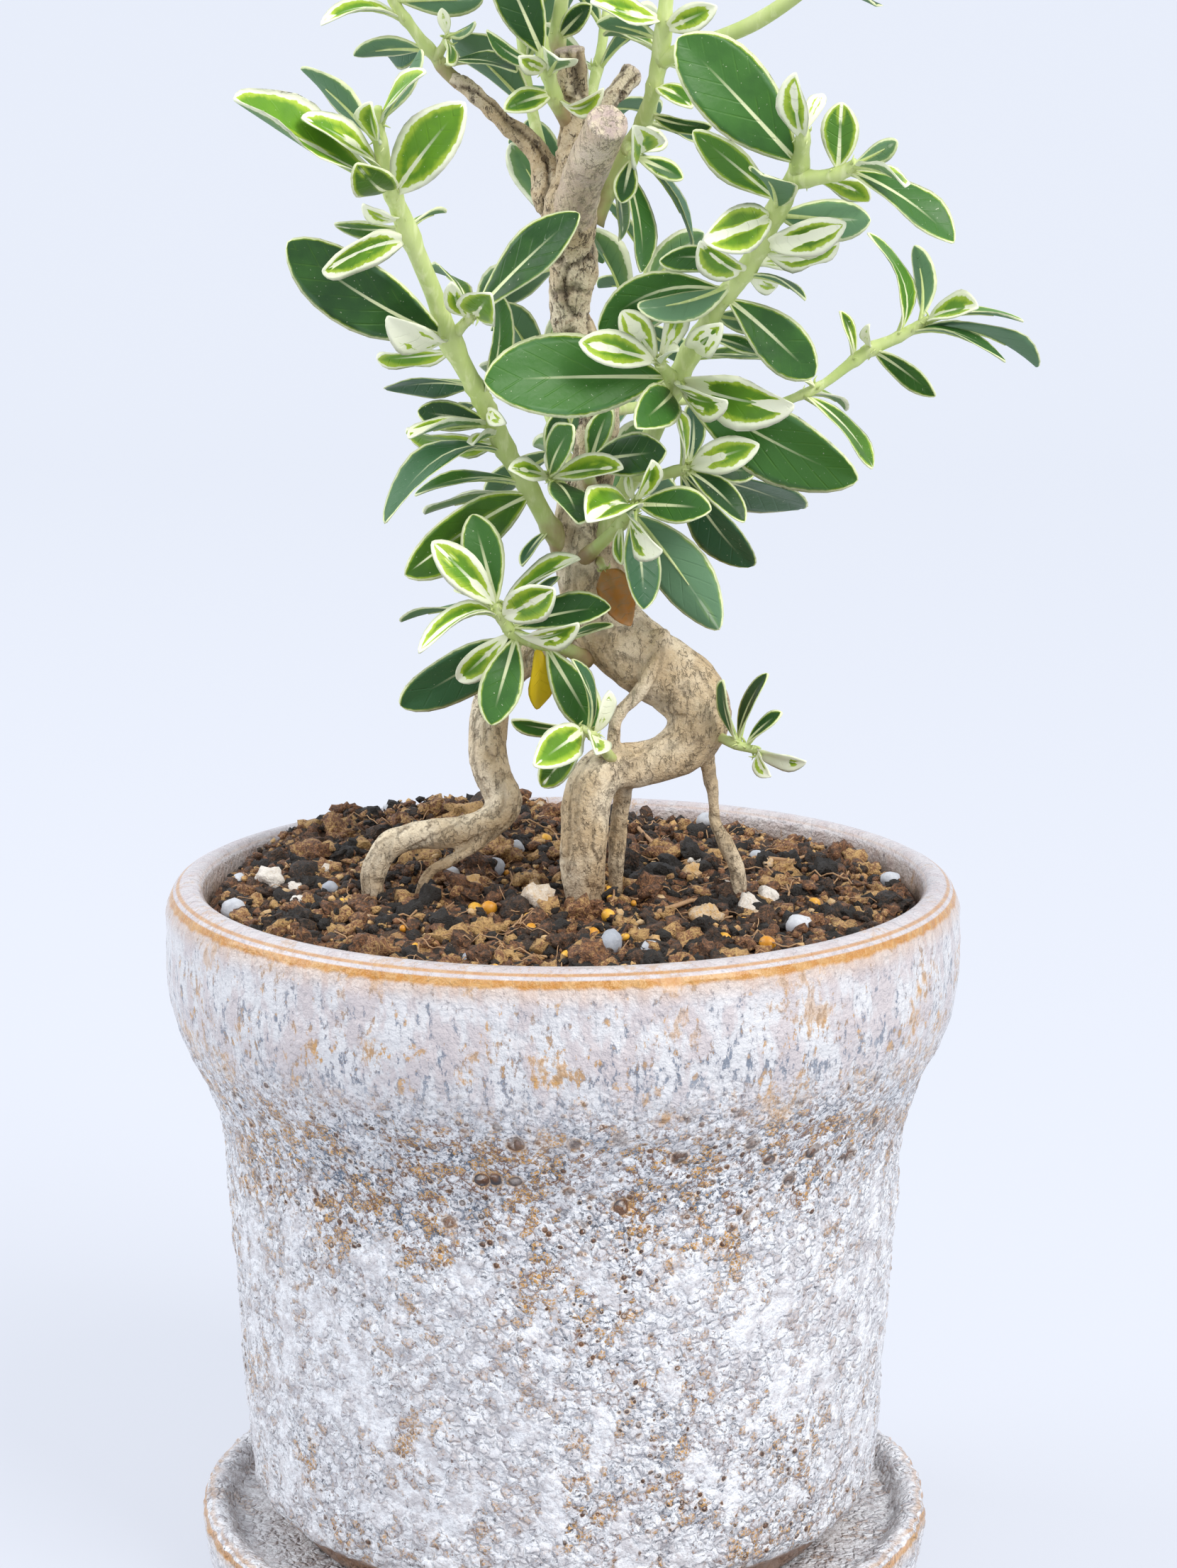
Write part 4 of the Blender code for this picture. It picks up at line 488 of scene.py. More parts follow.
class Crowd:
    """The blades and stems placed so far, asked whether a new blade would touch them."""

    def __init__(self):
        self.members = []

    def add(self, owner, bm):
        """Take a placed blade or stem into the crowd."""
        self.members.append((owner, *box_of(bm), BVHTree.FromBMesh(bm)))
        bm.free()

    def touches(self, bm, spare_owner=None):
        """Tell whether a mesh crosses anything but its spared owner's pieces."""
        low, high = box_of(bm)
        tree = BVHTree.FromBMesh(bm)
        for owner, other_low, other_high, other in self.members:
            if owner == spare_owner:
                continue
            if all(low[i] < other_high[i] and other_low[i] < high[i] for i in range(3)):
                if tree.overlap(other):
                    return True
        return False


def coarse_blade(leaf):
    """Make a blade with as many faces as its size calls for."""
    if leaf.breadth > WIDE_BLADE:
        return blade_mesh(leaf, LONG_ROWS, 2, BLADE_THICKNESS)
    rows = SHORT_ROWS
    if leaf.length > LONG_BLADE:
        rows = LONG_ROWS
    if leaf.length < TINY_BLADE:
        rows = TINY_ROWS
    return blade_mesh(leaf, rows, 1, BLADE_THICKNESS)


def guard(leaf, start=0.0):
    """Make the swollen blade that must touch nothing of another stem."""
    rows = [start] + [row for row in SHORT_ROWS if row > start + 0.05]
    return blade_mesh(leaf, rows, 2, BLADE_THICKNESS + 2 * LEAF_CLEAR, LEAF_CLEAR)


def settle(crowd, owner, tries):
    """Place the first of the tried leaves that is clear of the rest, the same spray's own included."""
    for same_too in (True, False):
        for leaf in tries:
            outer = guard(leaf, 0.3)
            clear = not crowd.touches(outer, None if same_too else owner)
            outer.free()
            if not clear:
                continue
            whole, bare = guard(leaf), coarse_blade(leaf)
            clear = not crowd.touches(whole, owner) and not crowd.touches(bare, owner)
            whole.free()
            if clear:
                crowd.add(owner, bare)
                return leaf
            bare.free()
    return None


def grown_tries(way, part, turn, draws, size):
    """Return one leaf of a pair in the ways that it may swing, from the same draws."""
    start, along = way_at(way, part)
    lean, length = draws.uniform(0.95, 1.3), draws.uniform(*GROWN_LENGTH) * size
    look = draws.choice(("dark", "dark", "dark", "green", "young", "young", "teal"))
    seed = draws.random()
    for swing in (0.0, 0.3, -0.3, 0.6, -0.6, 0.9, -0.9):
        for tuck in (0.0, -0.3, 0.25):
            yield grown_leaf(start, along, turn + swing, lean + tuck, length, look, random.Random(seed))


def grow(crowd, owner, way, first, draws):
    """Set crosswise pairs of leaves along a stem, smaller towards its tip, with a closing tuft."""
    leaves = []
    length = sum((b[0] - a[0]).length for a, b in zip(way, way[1:]))
    pairs = max(1, round(length * (1 - first) / PAIR_STEP))
    for pair in range(pairs + 1):
        part = first + (1 - first) * pair / pairs * 0.985
        size = 1.0 - 0.35 * pair / pairs
        turn = pair * math.pi / 2 + draws.uniform(-0.3, 0.3)
        for half_turn in (0.0, math.pi):
            leaf = settle(crowd, owner, grown_tries(way, part, turn + half_turn, draws, size))
            if leaf:
                leaves.append(leaf)
    return leaves


# How far a read leaf's tip may move along its sight line, tried in this order
SHIFTS = (0, 1, -1, 2, -2, 3, -3, 4, -4, 5, -5, 6.5, -6.5, 8, -8, 10, -10, 12, -12)
# Part of its length at which a stem of the far side bears its first leaves
GROWN_START = 0.3


def foliage(crowd):
    """Return every spray's stem ways and leaves, each leaf swung clear of the others."""
    sprays = {}
    for name, routes in STEMS.items():
        sprays[name] = ([smooth_route(route, 1) for route in routes], [])
    for name, route in GROWN_STEMS.items():
        sprays[name] = ([smooth_route(route, 1)], [])
    for name, (ways, _) in sprays.items():
        for way in ways:
            crowd.add(name, tubes([swollen(way, LEAF_CLEAR)], STEM_SIDES))
    for name, readings in LEAVES.items():
        ways, leaves = sprays[name]
        for reading in readings:
            leaf = settle(crowd, name, (read_leaf(ways, reading, shift) for shift in SHIFTS))
            if leaf:
                leaves.append(leaf)
    draws = random.Random(GROWN_SEED)
    for name, starts in CROWN_STARTS.items():
        ways, leaves = sprays[name]
        for index, first in starts:
            leaves.extend(grow(crowd, name, ways[index], first, draws))
    for name in GROWN_STEMS:
        ways, leaves = sprays[name]
        leaves.extend(grow(crowd, name, ways[0], GROWN_START, draws))
    return sprays


def swollen(way, swell):
    """Return a way whose every radius is larger."""
    return [(place, radius + swell) for place, radius in way]


def shape_of(form):
    """Return the mesh that an object's curve or modifiers make, doubles merged and normals outwards."""
    mesh = bpy.data.meshes.new_from_object(form.evaluated_get(bpy.context.evaluated_depsgraph_get()))
    bm = bmesh.new()
    bm.from_mesh(mesh)
    bpy.data.meshes.remove(mesh)
    bmesh.ops.remove_doubles(bm, verts=bm.verts, dist=0.001)
    bmesh.ops.recalc_face_normals(bm, faces=bm.faces)
    return bm


def tubes(ways, sides):
    """Sweep a round section along each of many ways and return the closed tubes as one mesh."""
    curve = bpy.data.curves.new("ways", "CURVE")
    curve.dimensions = "3D"
    curve.bevel_depth = 1.0
    curve.bevel_resolution = (sides - 4) // 2
    curve.use_fill_caps = True
    for way in ways:
        spline = curve.splines.new("POLY")
        spline.points.add(len(way) - 1)
        for point, (place, radius) in zip(spline.points, way):
            point.co = (*place, 1.0)
            point.radius = radius
    guide = bpy.data.objects.new("ways", curve)
    bpy.context.scene.collection.objects.link(guide)
    bm = shape_of(guide)
    bpy.data.objects.remove(guide)
    bpy.data.curves.remove(curve)
    return bm


def pot_profile():
    """Return the pot's section as a closed outline, down its outside and back up its inside."""
    rim, lip = POT_RIM_HEIGHT, POT_RIM_RADIUS
    outside = [(lip - 2.3, rim), (lip - 0.7, rim - 0.8), (lip + 0.2, rim - 3.0), (lip + 0.4, rim - 11.0),
               (lip - 0.4, rim - 16.0), (lip - 1.6, rim - 19.5), (lip - 4.4, rim - 25.0),
               (lip - 6.2, rim - 30.0), (lip - 6.7, rim - 35.0), (lip - 9.0, 22.0), (lip - 9.6, 16.4),
               (lip - 11.0, 14.4), (36.2, 13.8)]
    foot = [(35.6, POT_FOOT_BOTTOM), (31.6, POT_FOOT_BOTTOM), (30.8, 13.4), (DRAIN_RADIUS, 13.4),
            (DRAIN_RADIUS, POT_FLOOR_TOP)]
    inside = [(lip - 12.0, POT_FLOOR_TOP), (lip - 10.8, WALL_TURNS[0]), (lip - 5.6, WALL_TURNS[1]),
              (lip - POT_WALL - 0.2, rim - 0.9), (lip - POT_WALL + 0.7, rim)]
    return outside + foot + inside


def soil_height(x, y):
    """Height of the soil: a mound towards the back left and crumbs all over."""
    away = math.hypot(x - SOIL_MOUND_CENTRE[0], y - SOIL_MOUND_CENTRE[1])
    mound = SOIL_MOUND * math.exp(-(away / SOIL_MOUND_SPREAD) ** 2)
    return SOIL_LEVEL + mound + SOIL_CRUMB * noise.noise(Vector((x, y, 0.0)) * 0.17)


def inner_radius(height):
    """Radius of the pot's inside at a height, from its own outline."""
    inside = pot_profile()[-5:]
    for (r0, h0), (r1, h1) in zip(inside, inside[1:]):
        if h0 <= height <= h1:
            return r0 + (r1 - r0) * (height - h0) / (h1 - h0)
    return inside[0][0]


def woody_ways():
    """Return the trunk's and limbs' ways with the sides that each is made with."""
    ways = [(smooth_route(TRUNK, 2), TRUNK_SIDES)]
    for name, route in LIMBS.items():
        sides = ROOT_SIDES if max(point[3] for point in route) > 1.4 else STEM_SIDES
        ways.append((smooth_route(route, 1), sides))
    return ways


def saucer_profile():
    """Return the saucer's section from its middle over its rim and back under."""
    rim, edge = SAUCER_RIM_RADIUS, SAUCER_RIM_HEIGHT
    return [(0.0, SAUCER_FLOOR), (rim - 4.4, SAUCER_FLOOR), (rim - 2.9, edge - 0.5), (rim - 1.7, edge),
            (rim - 0.3, edge - 0.6), (rim, edge - 1.8), (rim - 0.8, 5.0), (rim - 2.2, 0.8),
            (rim - 3.2, 0.0), (0.0, 0.0)]


# Camera and light
PHOTO_SIZE = (1660, 2212)
FOCAL_PIXELS = 4677.0
FILM = 36.0
PALE = (0.855, 0.895, 0.985)
SKY_STRENGTH = 1.05
NEAR_PALE = (0.750, 0.780, 0.865)
PAPER = (0.24, 0.25, 0.27)
SWEEP_GLOW = 0.65
PALER_FROM = -0.2
PALEST_FROM = 1.6
SWEEP_REACH = 3.0
SWEEP_BEND = 1.4
SWEEP_CURVE = 0.8
CLIP_START = 0.01

# Name, place, the point that it faces, size, power and colour of each light
LIGHTS = (
    ("window", (0.75, -0.75, 1.10), (0.0, 0.0, 0.11), 0.7, 16.0, (1.0, 0.985, 0.96)),
    ("side_glow", (-1.10, 0.10, 0.75), (0.0, 0.0, 0.12), 0.7, 8.0, (0.96, 0.98, 1.0)),
)


def make_camera():
    """Stand the camera where the photograph was taken from."""
    lens = bpy.data.cameras.new("camera")
    lens.sensor_fit = "VERTICAL"
    lens.sensor_height = FILM
    lens.lens = FOCAL_PIXELS / PHOTO_SIZE[1] * FILM
    lens.clip_start = CLIP_START
    camera = bpy.data.objects.new("camera", lens)
    camera.location = EYE * MM
    camera.rotation_euler = (math.pi / 2 - EYE_TILT, 0.0, -EYE_TURN)
    bpy.context.scene.collection.objects.link(camera)
    bpy.context.scene.camera = camera


def make_light(name, place, aim, size, power, colour):
    """Hang a square soft light at a place, facing a point."""
    lamp = bpy.data.lights.new(name, "AREA")
    lamp.size = size
    lamp.energy = power
    lamp.color = colour
    holder = bpy.data.objects.new(name, lamp)
    holder.location = place
    holder.rotation_euler = (Vector(aim) - Vector(place)).to_track_quat("-Z", "Y").to_euler()
    bpy.context.scene.collection.objects.link(holder)


def make_studio():
    """Set the sky and the lights, lay the sweep and show colours as they are."""
    world = bpy.data.worlds.new("studio")
    world.use_nodes = True
    world.node_tree.nodes["Background"].inputs["Color"].default_value = (*PALE, 1.0)
    world.node_tree.nodes["Background"].inputs["Strength"].default_value = SKY_STRENGTH
    bpy.context.scene.world = world
    bpy.context.scene.view_settings.view_transform = "Standard"
    for light in LIGHTS:
        make_light(*light)
    make_sweep()


def make_sweep():
    """Lay a sheet of pale paper that bends up behind the pot, a little darker near the camera."""
    bm = bmesh.new()
    bmesh.ops.create_grid(bm, x_segments=4, y_segments=48, size=SWEEP_REACH)
    for vert in bm.verts:
        past = vert.co.y - SWEEP_BEND
        if past > 0:
            turn = min(past / SWEEP_CURVE, math.pi / 2)
            vert.co.y = SWEEP_BEND + SWEEP_CURVE * math.sin(turn)
            vert.co.z = SWEEP_CURVE * (1 - math.cos(turn)) + past - SWEEP_CURVE * turn
    mesh = bpy.data.meshes.new("sweep")
    bm.to_mesh(mesh)
    bm.free()
    mesh.shade_smooth()
    sweep = bpy.data.objects.new("sweep", mesh)
    bpy.context.scene.collection.objects.link(sweep)
    paint = Paint("pale_paper")
    away = paint.add("SeparateXYZ", None, {0: paint.place}, "Y")
    paint.put({"Base Color": (*PAPER, 1.0), "Roughness": 1.0, "Specular IOR Level": 0.0,
               "Emission Color": paint.blend(paint.rise(away, PALER_FROM, PALEST_FROM), NEAR_PALE, PALE),
               "Emission Strength": SWEEP_GLOW})
    mesh.materials.append(paint.material)


# Shader maths
class Sum:
    """A value in a material: arithmetic on it adds the Math nodes that work it out."""

    def __init__(self, paint, socket):
        self.paint, self.socket = paint, socket

    def maths(self, operation, *others):
        """Add one Math node of this value and the others."""
        return self.paint.add("Math", {"operation": operation}, dict(enumerate((self, *others))))

    def beside(self, name):
        """Another output of the same node."""
        return Sum(self.paint, self.socket.node.outputs[name])

    def __add__(self, other):
        return self.maths("ADD", other)

    def __sub__(self, other):
        return self.maths("SUBTRACT", other)

    def __mul__(self, other):
        return self.maths("MULTIPLY", other)

    def __truediv__(self, other):
        return self.maths("DIVIDE", other)

    def __rsub__(self, other):
        return self * -1.0 + other

    def __abs__(self):
        return self.maths("ABSOLUTE")

    __radd__ = __add__
    __rmul__ = __mul__


class Paint:
    """A material in the making, with the nodes that its finishes share."""

    def __init__(self, name):
        self.material = bpy.data.materials.new(name)
        self.material.use_nodes = True
        self.tree = self.material.node_tree
        self.shader = self.tree.nodes["Principled BSDF"]
        self.place = self.add("TexCoord", out="Object")

    def add(self, kind, settings=None, values=None, out=0):
        """Add a node: its settings first, a ramp's stops among them, then its sockets' values or links."""
        node = self.tree.nodes.new("ShaderNode" + kind)
        for name, value in (settings or {}).items():
            if name == "stops":
                ramp = node.color_ramp
                while len(ramp.elements) < len(value):
                    ramp.elements.new(1.0)
                for stop, (spot, colour) in zip(ramp.elements, value):
                    stop.position = spot
                    stop.color = (*colour, 1.0)
            else:
                setattr(node, name, value)
        self.put(values or {}, node)
        return Sum(self, node.outputs[out])

    def put(self, values, node=None):
        """Set or link the sockets of a node, or of the shader itself."""
        for name, value in values.items():
            socket = (node or self.shader).inputs[name]
            if isinstance(value, Sum):
                self.tree.links.new(value.socket, socket)
            else:
                socket.default_value = value

    def noise(self, scale, detail=2.0, roughness=0.5, vector=None):
        """Cloudy noise whose scale is in features for each millimetre."""
        return self.add("TexNoise", None, {"Vector": vector or self.place, "Scale": scale / MM,
                                           "Detail": detail, "Roughness": roughness})

    def cells(self, scale, feature="F1", out="Distance", vector=None):
        """Cell pattern whose scale is in cells for each millimetre."""
        return self.add("TexVoronoi", {"feature": feature},
                        {"Vector": vector or self.place, "Scale": scale / MM}, out)

    def part(self, colour, channel):
        """One channel of a colour, counted from 0 for red."""
        return self.add("SeparateColor", None, {0: colour}, channel)

    def squeezed(self, across, along):
        """Object coordinates with the pattern drawn out upwards."""
        return self.add("Mapping", None, {"Vector": self.place, "Scale": (across, across, along)})

    def rise(self, value, low, high):
        """Smooth step of a value from low to high."""
        return self.add("MapRange", {"interpolation_type": "SMOOTHSTEP"},
                        {"Value": value, "From Min": low, "From Max": high})

    def reading(self, name):
        """A number kept on the piece's own corners."""
        return self.add("Attribute", {"attribute_name": name}, out="Fac")

    def blend(self, share, colour, other):
        """Mix two colours."""
        pair = [value if isinstance(value, Sum) else (*value, 1.0) for value in (colour, other)]
        return self.add("Mix", {"data_type": "RGBA"}, {0: share, 6: pair[0], 7: pair[1]}, 2)

    def ramp(self, value, stops):
        """Colours along a value."""
        return self.add("ValToRGB", {"stops": stops}, {"Fac": value}, "Color")

    def relief(self, height, depth):
        """Bump of a height, its depth in millimetres."""
        values = {"Height": height, "Distance": depth * MM, "Strength": 1.0}
        self.put({"Normal": self.add("Bump", None, values, "Normal")})

    def height(self):
        """Height above the table in millimetres."""
        return self.add("SeparateXYZ", None, {0: self.place}, "Z") / MM

    def spread(self):
        """Distance from the pot's axis, as a part of its lip's radius."""
        flat = self.add("Mapping", None, {"Vector": self.place, "Scale": (1.0, 1.0, 0.0)})
        away = self.add("VectorMath", {"operation": "LENGTH"}, {0: flat}, "Value")
        return away / (POT_RIM_RADIUS * MM)

    def swirled(self, scale, reach):
        """Object coordinates pushed about by noise, by up to reach millimetres."""
        push = self.add("TexNoise", None, {"Vector": self.place, "Scale": scale / MM}, "Color")
        push = self.add("VectorMath", {"operation": "SCALE"}, {0: push, "Scale": reach * MM})
        return self.add("VectorMath", {"operation": "ADD"}, {0: self.place, 1: push})

    def greater(self, value, other):
        """The larger of two values."""
        return value.maths("MAXIMUM", other)


# Finishes
DEEP_GREEN = (0.010, 0.046, 0.010)
MID_GREEN = (0.046, 0.150, 0.022)
FRESH_GREEN = (0.200, 0.420, 0.015)
LIME = (0.450, 0.590, 0.050)
CREAM = (0.850, 0.880, 0.520)
IVORY = (0.910, 0.920, 0.680)
UNDER_GREEN = (0.135, 0.255, 0.135)
TEAL_GREEN = (0.045, 0.128, 0.058)
YELLOWED = (0.850, 0.600, 0.020)
WITHERED = (0.450, 0.180, 0.035)
STEM_PALE = (0.640, 0.700, 0.320)
STEM_LIME = (0.430, 0.550, 0.140)
STEM_BROWN = (0.330, 0.220, 0.110)


def leaf_paint():
    """Green blade with a cream margin, a pale midrib, faint side veins and a greyer underside."""
    paint = Paint("variegated_leaf")
    edge, along, rib = paint.reading("edge"), paint.reading("along"), paint.reading("rib")
    margin, fresh, cream = paint.reading("margin"), paint.reading("fresh"), paint.reading("cream")
    under, draw = paint.reading("under"), paint.reading("draw")
    cloud, fine = paint.noise(0.30, 3.0), paint.noise(1.1, 3.0)
    ragged = margin * (0.50 + 1.0 * fine)
    rim = 1.0 - paint.rise(edge, ragged * 0.85, ragged + 0.06)
    band = 1.0 - paint.rise(edge, ragged + 0.04, ragged + 0.20 + fresh * 1.6 * cloud)
    veins = abs((along * 7.0 - rib * 0.55 + draw * 3.0).maths("FRACT") - 0.5)
    vein = (1.0 - paint.rise(veins, 0.02, 0.10)) * paint.rise(edge, 0.3, 1.2)
    vein = vein * paint.rise(cloud, 0.35, 0.65)
    wedge = 0.42 - along * 0.42
    midrib = 1.0 - paint.rise(rib, wedge * 0.55, wedge * 0.55 + 0.12)
    midrib = midrib * (1.0 - paint.rise(along, 0.35, 0.85))
    green = paint.blend(paint.rise(cloud * 0.5 + draw * 0.7, 0.30, 0.85), DEEP_GREEN, MID_GREEN)
    green = paint.blend(fresh * (0.35 + 0.7 * cloud), green, FRESH_GREEN)
    green = paint.blend(vein * 0.08, green, FRESH_GREEN)
    green = paint.blend(paint.reading("teal") * 0.75, green, TEAL_GREEN)
    spots = paint.add("CombineXYZ", None, {0: rib * 0.5, 1: along * 1.6, 2: draw * 40.0})
    splash = paint.add("TexNoise", None, {"Vector": spots, "Scale": 1.3, "Detail": 3.0})
    reach = (splash - 0.48) * cream * 9.0
    halo = (1.0 - paint.rise(rib, reach, reach + 0.55)) * paint.rise(reach, 0.0, 0.2)
    green = paint.blend(halo, green, LIME)
    green = paint.blend(band * (0.55 + 0.4 * fresh), green, LIME)
    streak = (1.0 - paint.rise(rib, reach, reach + 0.14)) * paint.rise(reach, 0.0, 0.1)
    green = paint.blend(streak, green, IVORY)
    green = paint.blend(under * 0.78, green, UNDER_GREEN)
    pale = paint.blend(paint.rise(fresh + fine * 0.4, 0.35, 0.8), CREAM, IVORY)
    bare = paint.greater(rim, midrib * (0.9 - 0.4 * under)) * (0.97 - 0.25 * under)
    green = paint.blend(bare, green, pale)
    dust = paint.rise(paint.noise(3.2, 1.0), 0.74, 0.78) * (1.0 - under)
    green = paint.blend(dust * 0.35, green, IVORY)
    green = paint.blend(paint.reading("yellowed"), green, YELLOWED)
    brown = paint.rise(fine * 0.5 + cloud * 0.5, 0.4, 0.62) * 0.5 + vein * 0.4
    dry = paint.blend(brown, WITHERED, STEM_BROWN)
    green = paint.blend(paint.reading("withered"), green, dry)
    paint.put({"Base Color": green, "Roughness": 0.34 + 0.16 * cloud + 0.2 * under,
               "Specular IOR Level": 0.28})
    paint.relief(fine * 0.3 - vein * 0.35 + cloud * 0.5, 0.16)
    return paint.material


def stem_paint():
    """Pale green young stem, browner where it is oldest."""
    paint = Paint("young_stem")
    age = paint.reading("age")
    cloud = paint.noise(0.35, 3.0)
    lines = paint.noise(1.1, 3.0, vector=paint.squeezed(1.0, 0.2))
    colour = paint.blend(cloud, STEM_LIME, STEM_PALE)
    colour = paint.blend(paint.rise(lines, 0.5, 0.7) * 0.4, colour, CREAM)
    colour = paint.blend(paint.rise(age + (cloud - 0.5) * 0.6, 0.55, 1.0), colour, STEM_BROWN)
    paint.put({"Base Color": colour, "Roughness": 0.45 + 0.25 * lines, "Subsurface Weight": 0.15,
               "Subsurface Radius": (0.8, 1.0, 0.3), "Subsurface Scale": 0.001})
    paint.relief(lines * 0.6 + cloud * 0.4, 0.15)
    return paint.material


BARK_TAN = (0.590, 0.440, 0.260)
BARK_PALE = (0.800, 0.680, 0.490)
BARK_GREY = (0.450, 0.350, 0.230)
BARK_DARK = (0.040, 0.022, 0.012)
BARK_STAIN = (0.190, 0.105, 0.048)
CUT_WOOD = (0.560, 0.430, 0.390)


def bark_paint():
    """Beige bark, cracked dark above and smooth and stained towards the soil."""
    paint = Paint("bark")
    crack, rough, cut = paint.reading("crack"), paint.reading("rough"), paint.reading("cut")
    cloud, grain = paint.noise(0.11, 4.0), paint.noise(0.7, 4.0, 0.65)
    fine = paint.noise(2.4, 3.0, 0.65)
    colour = paint.blend(paint.rise(cloud, 0.38, 0.62), BARK_TAN, BARK_PALE)
    colour = paint.blend(paint.rise(grain, 0.48, 0.70) * (0.35 + 0.4 * rough), colour, BARK_GREY)
    colour = paint.blend(paint.rise(grain * 0.5 + cloud * 0.6, 0.60, 0.72) * 0.5, colour, BARK_STAIN)
    colour = paint.blend(paint.rise(fine, 0.56, 0.68) * (0.12 + 0.5 * rough), colour, BARK_STAIN)
    seams = paint.noise(0.85, 4.0, 0.6, paint.squeezed(1.0, 0.34))
    seam = (1.0 - paint.rise(abs(seams - 0.5), 0.004, 0.030)) * paint.rise(grain, 0.44, 0.58)
    colour = paint.blend(seam * (0.02 + 0.72 * rough), colour, BARK_DARK)
    colour = paint.blend((1.0 - paint.rise(fine, 0.32, 0.44)) * 0.35, colour, BARK_PALE)
    colour = paint.blend(crack * (0.15 + 0.55 * rough), colour, BARK_DARK)
    foot = 1.0 - paint.rise(paint.height() + cloud * 10.0, 96.0, 106.0)
    colour = paint.blend(foot * 0.6, colour, BARK_STAIN)
    wood = paint.blend(paint.rise(grain, 0.35, 0.7), CUT_WOOD, BARK_PALE)
    colour = paint.blend(cut, colour, wood)
    paint.put({"Base Color": colour, "Roughness": 0.75 + 0.2 * grain, "Specular IOR Level": 0.3})
    paint.relief(grain * 0.9 + fine * 0.6 - crack * 0.6 - seam * 0.6, 0.50)
    return paint.material


GLAZE_WHITE = (0.530, 0.505, 0.515)
GLAZE_BRIGHT = (0.670, 0.665, 0.670)
CLOT_WHITE = (0.620, 0.595, 0.600)
CLOT_BRIGHT = (0.820, 0.820, 0.830)
GLAZE_LILAC = (0.390, 0.350, 0.370)
GLAZE_BLUE = (0.125, 0.165, 0.225)
GLAZE_INK = (0.022, 0.026, 0.045)
GLAZE_OCHRE = (0.560, 0.300, 0.085)
GLAZE_RUST = (0.170, 0.070, 0.028)
GLAZE_AMBER = (0.480, 0.190, 0.006)
GLAZE_PINK = (0.540, 0.465, 0.460)
GLAZE_TAN = (0.520, 0.400, 0.300)
CLAY_BROWN = (0.260, 0.130, 0.060)

# Heights over which each band of the pot's glaze sets in, in millimetres
COLLAR_FOOT = (75.0, 86.0)
BELT_FOOT = (62.0, 76.0)
BELT_TOP = (81.0, 90.0)
SPECKLED_COLLAR = (88.0, 102.0)
PINK_COLLAR = (91.0, 98.0)
TAN_INSIDE = (88.0, 91.0)
# Cells for each millimetre, share of them that hold a bubble, and its widest radius in cells
BUBBLES = ((0.85, 0.75, 0.28), (0.32, 0.62, 0.34))


def bubbles(paint, scale, share, widest):
    """Return how far out of a glaze bubble a place lies, one at its rim, and where such bubbles are."""
    pattern = paint.cells(scale)
    size = paint.part(pattern.beside("Color"), 1)
    radius = paint.rise(size, 1.0 - share, 1.0) * widest + 0.02
    return pattern / radius, paint.rise(size, 1.0 - share, 1.02 - share)


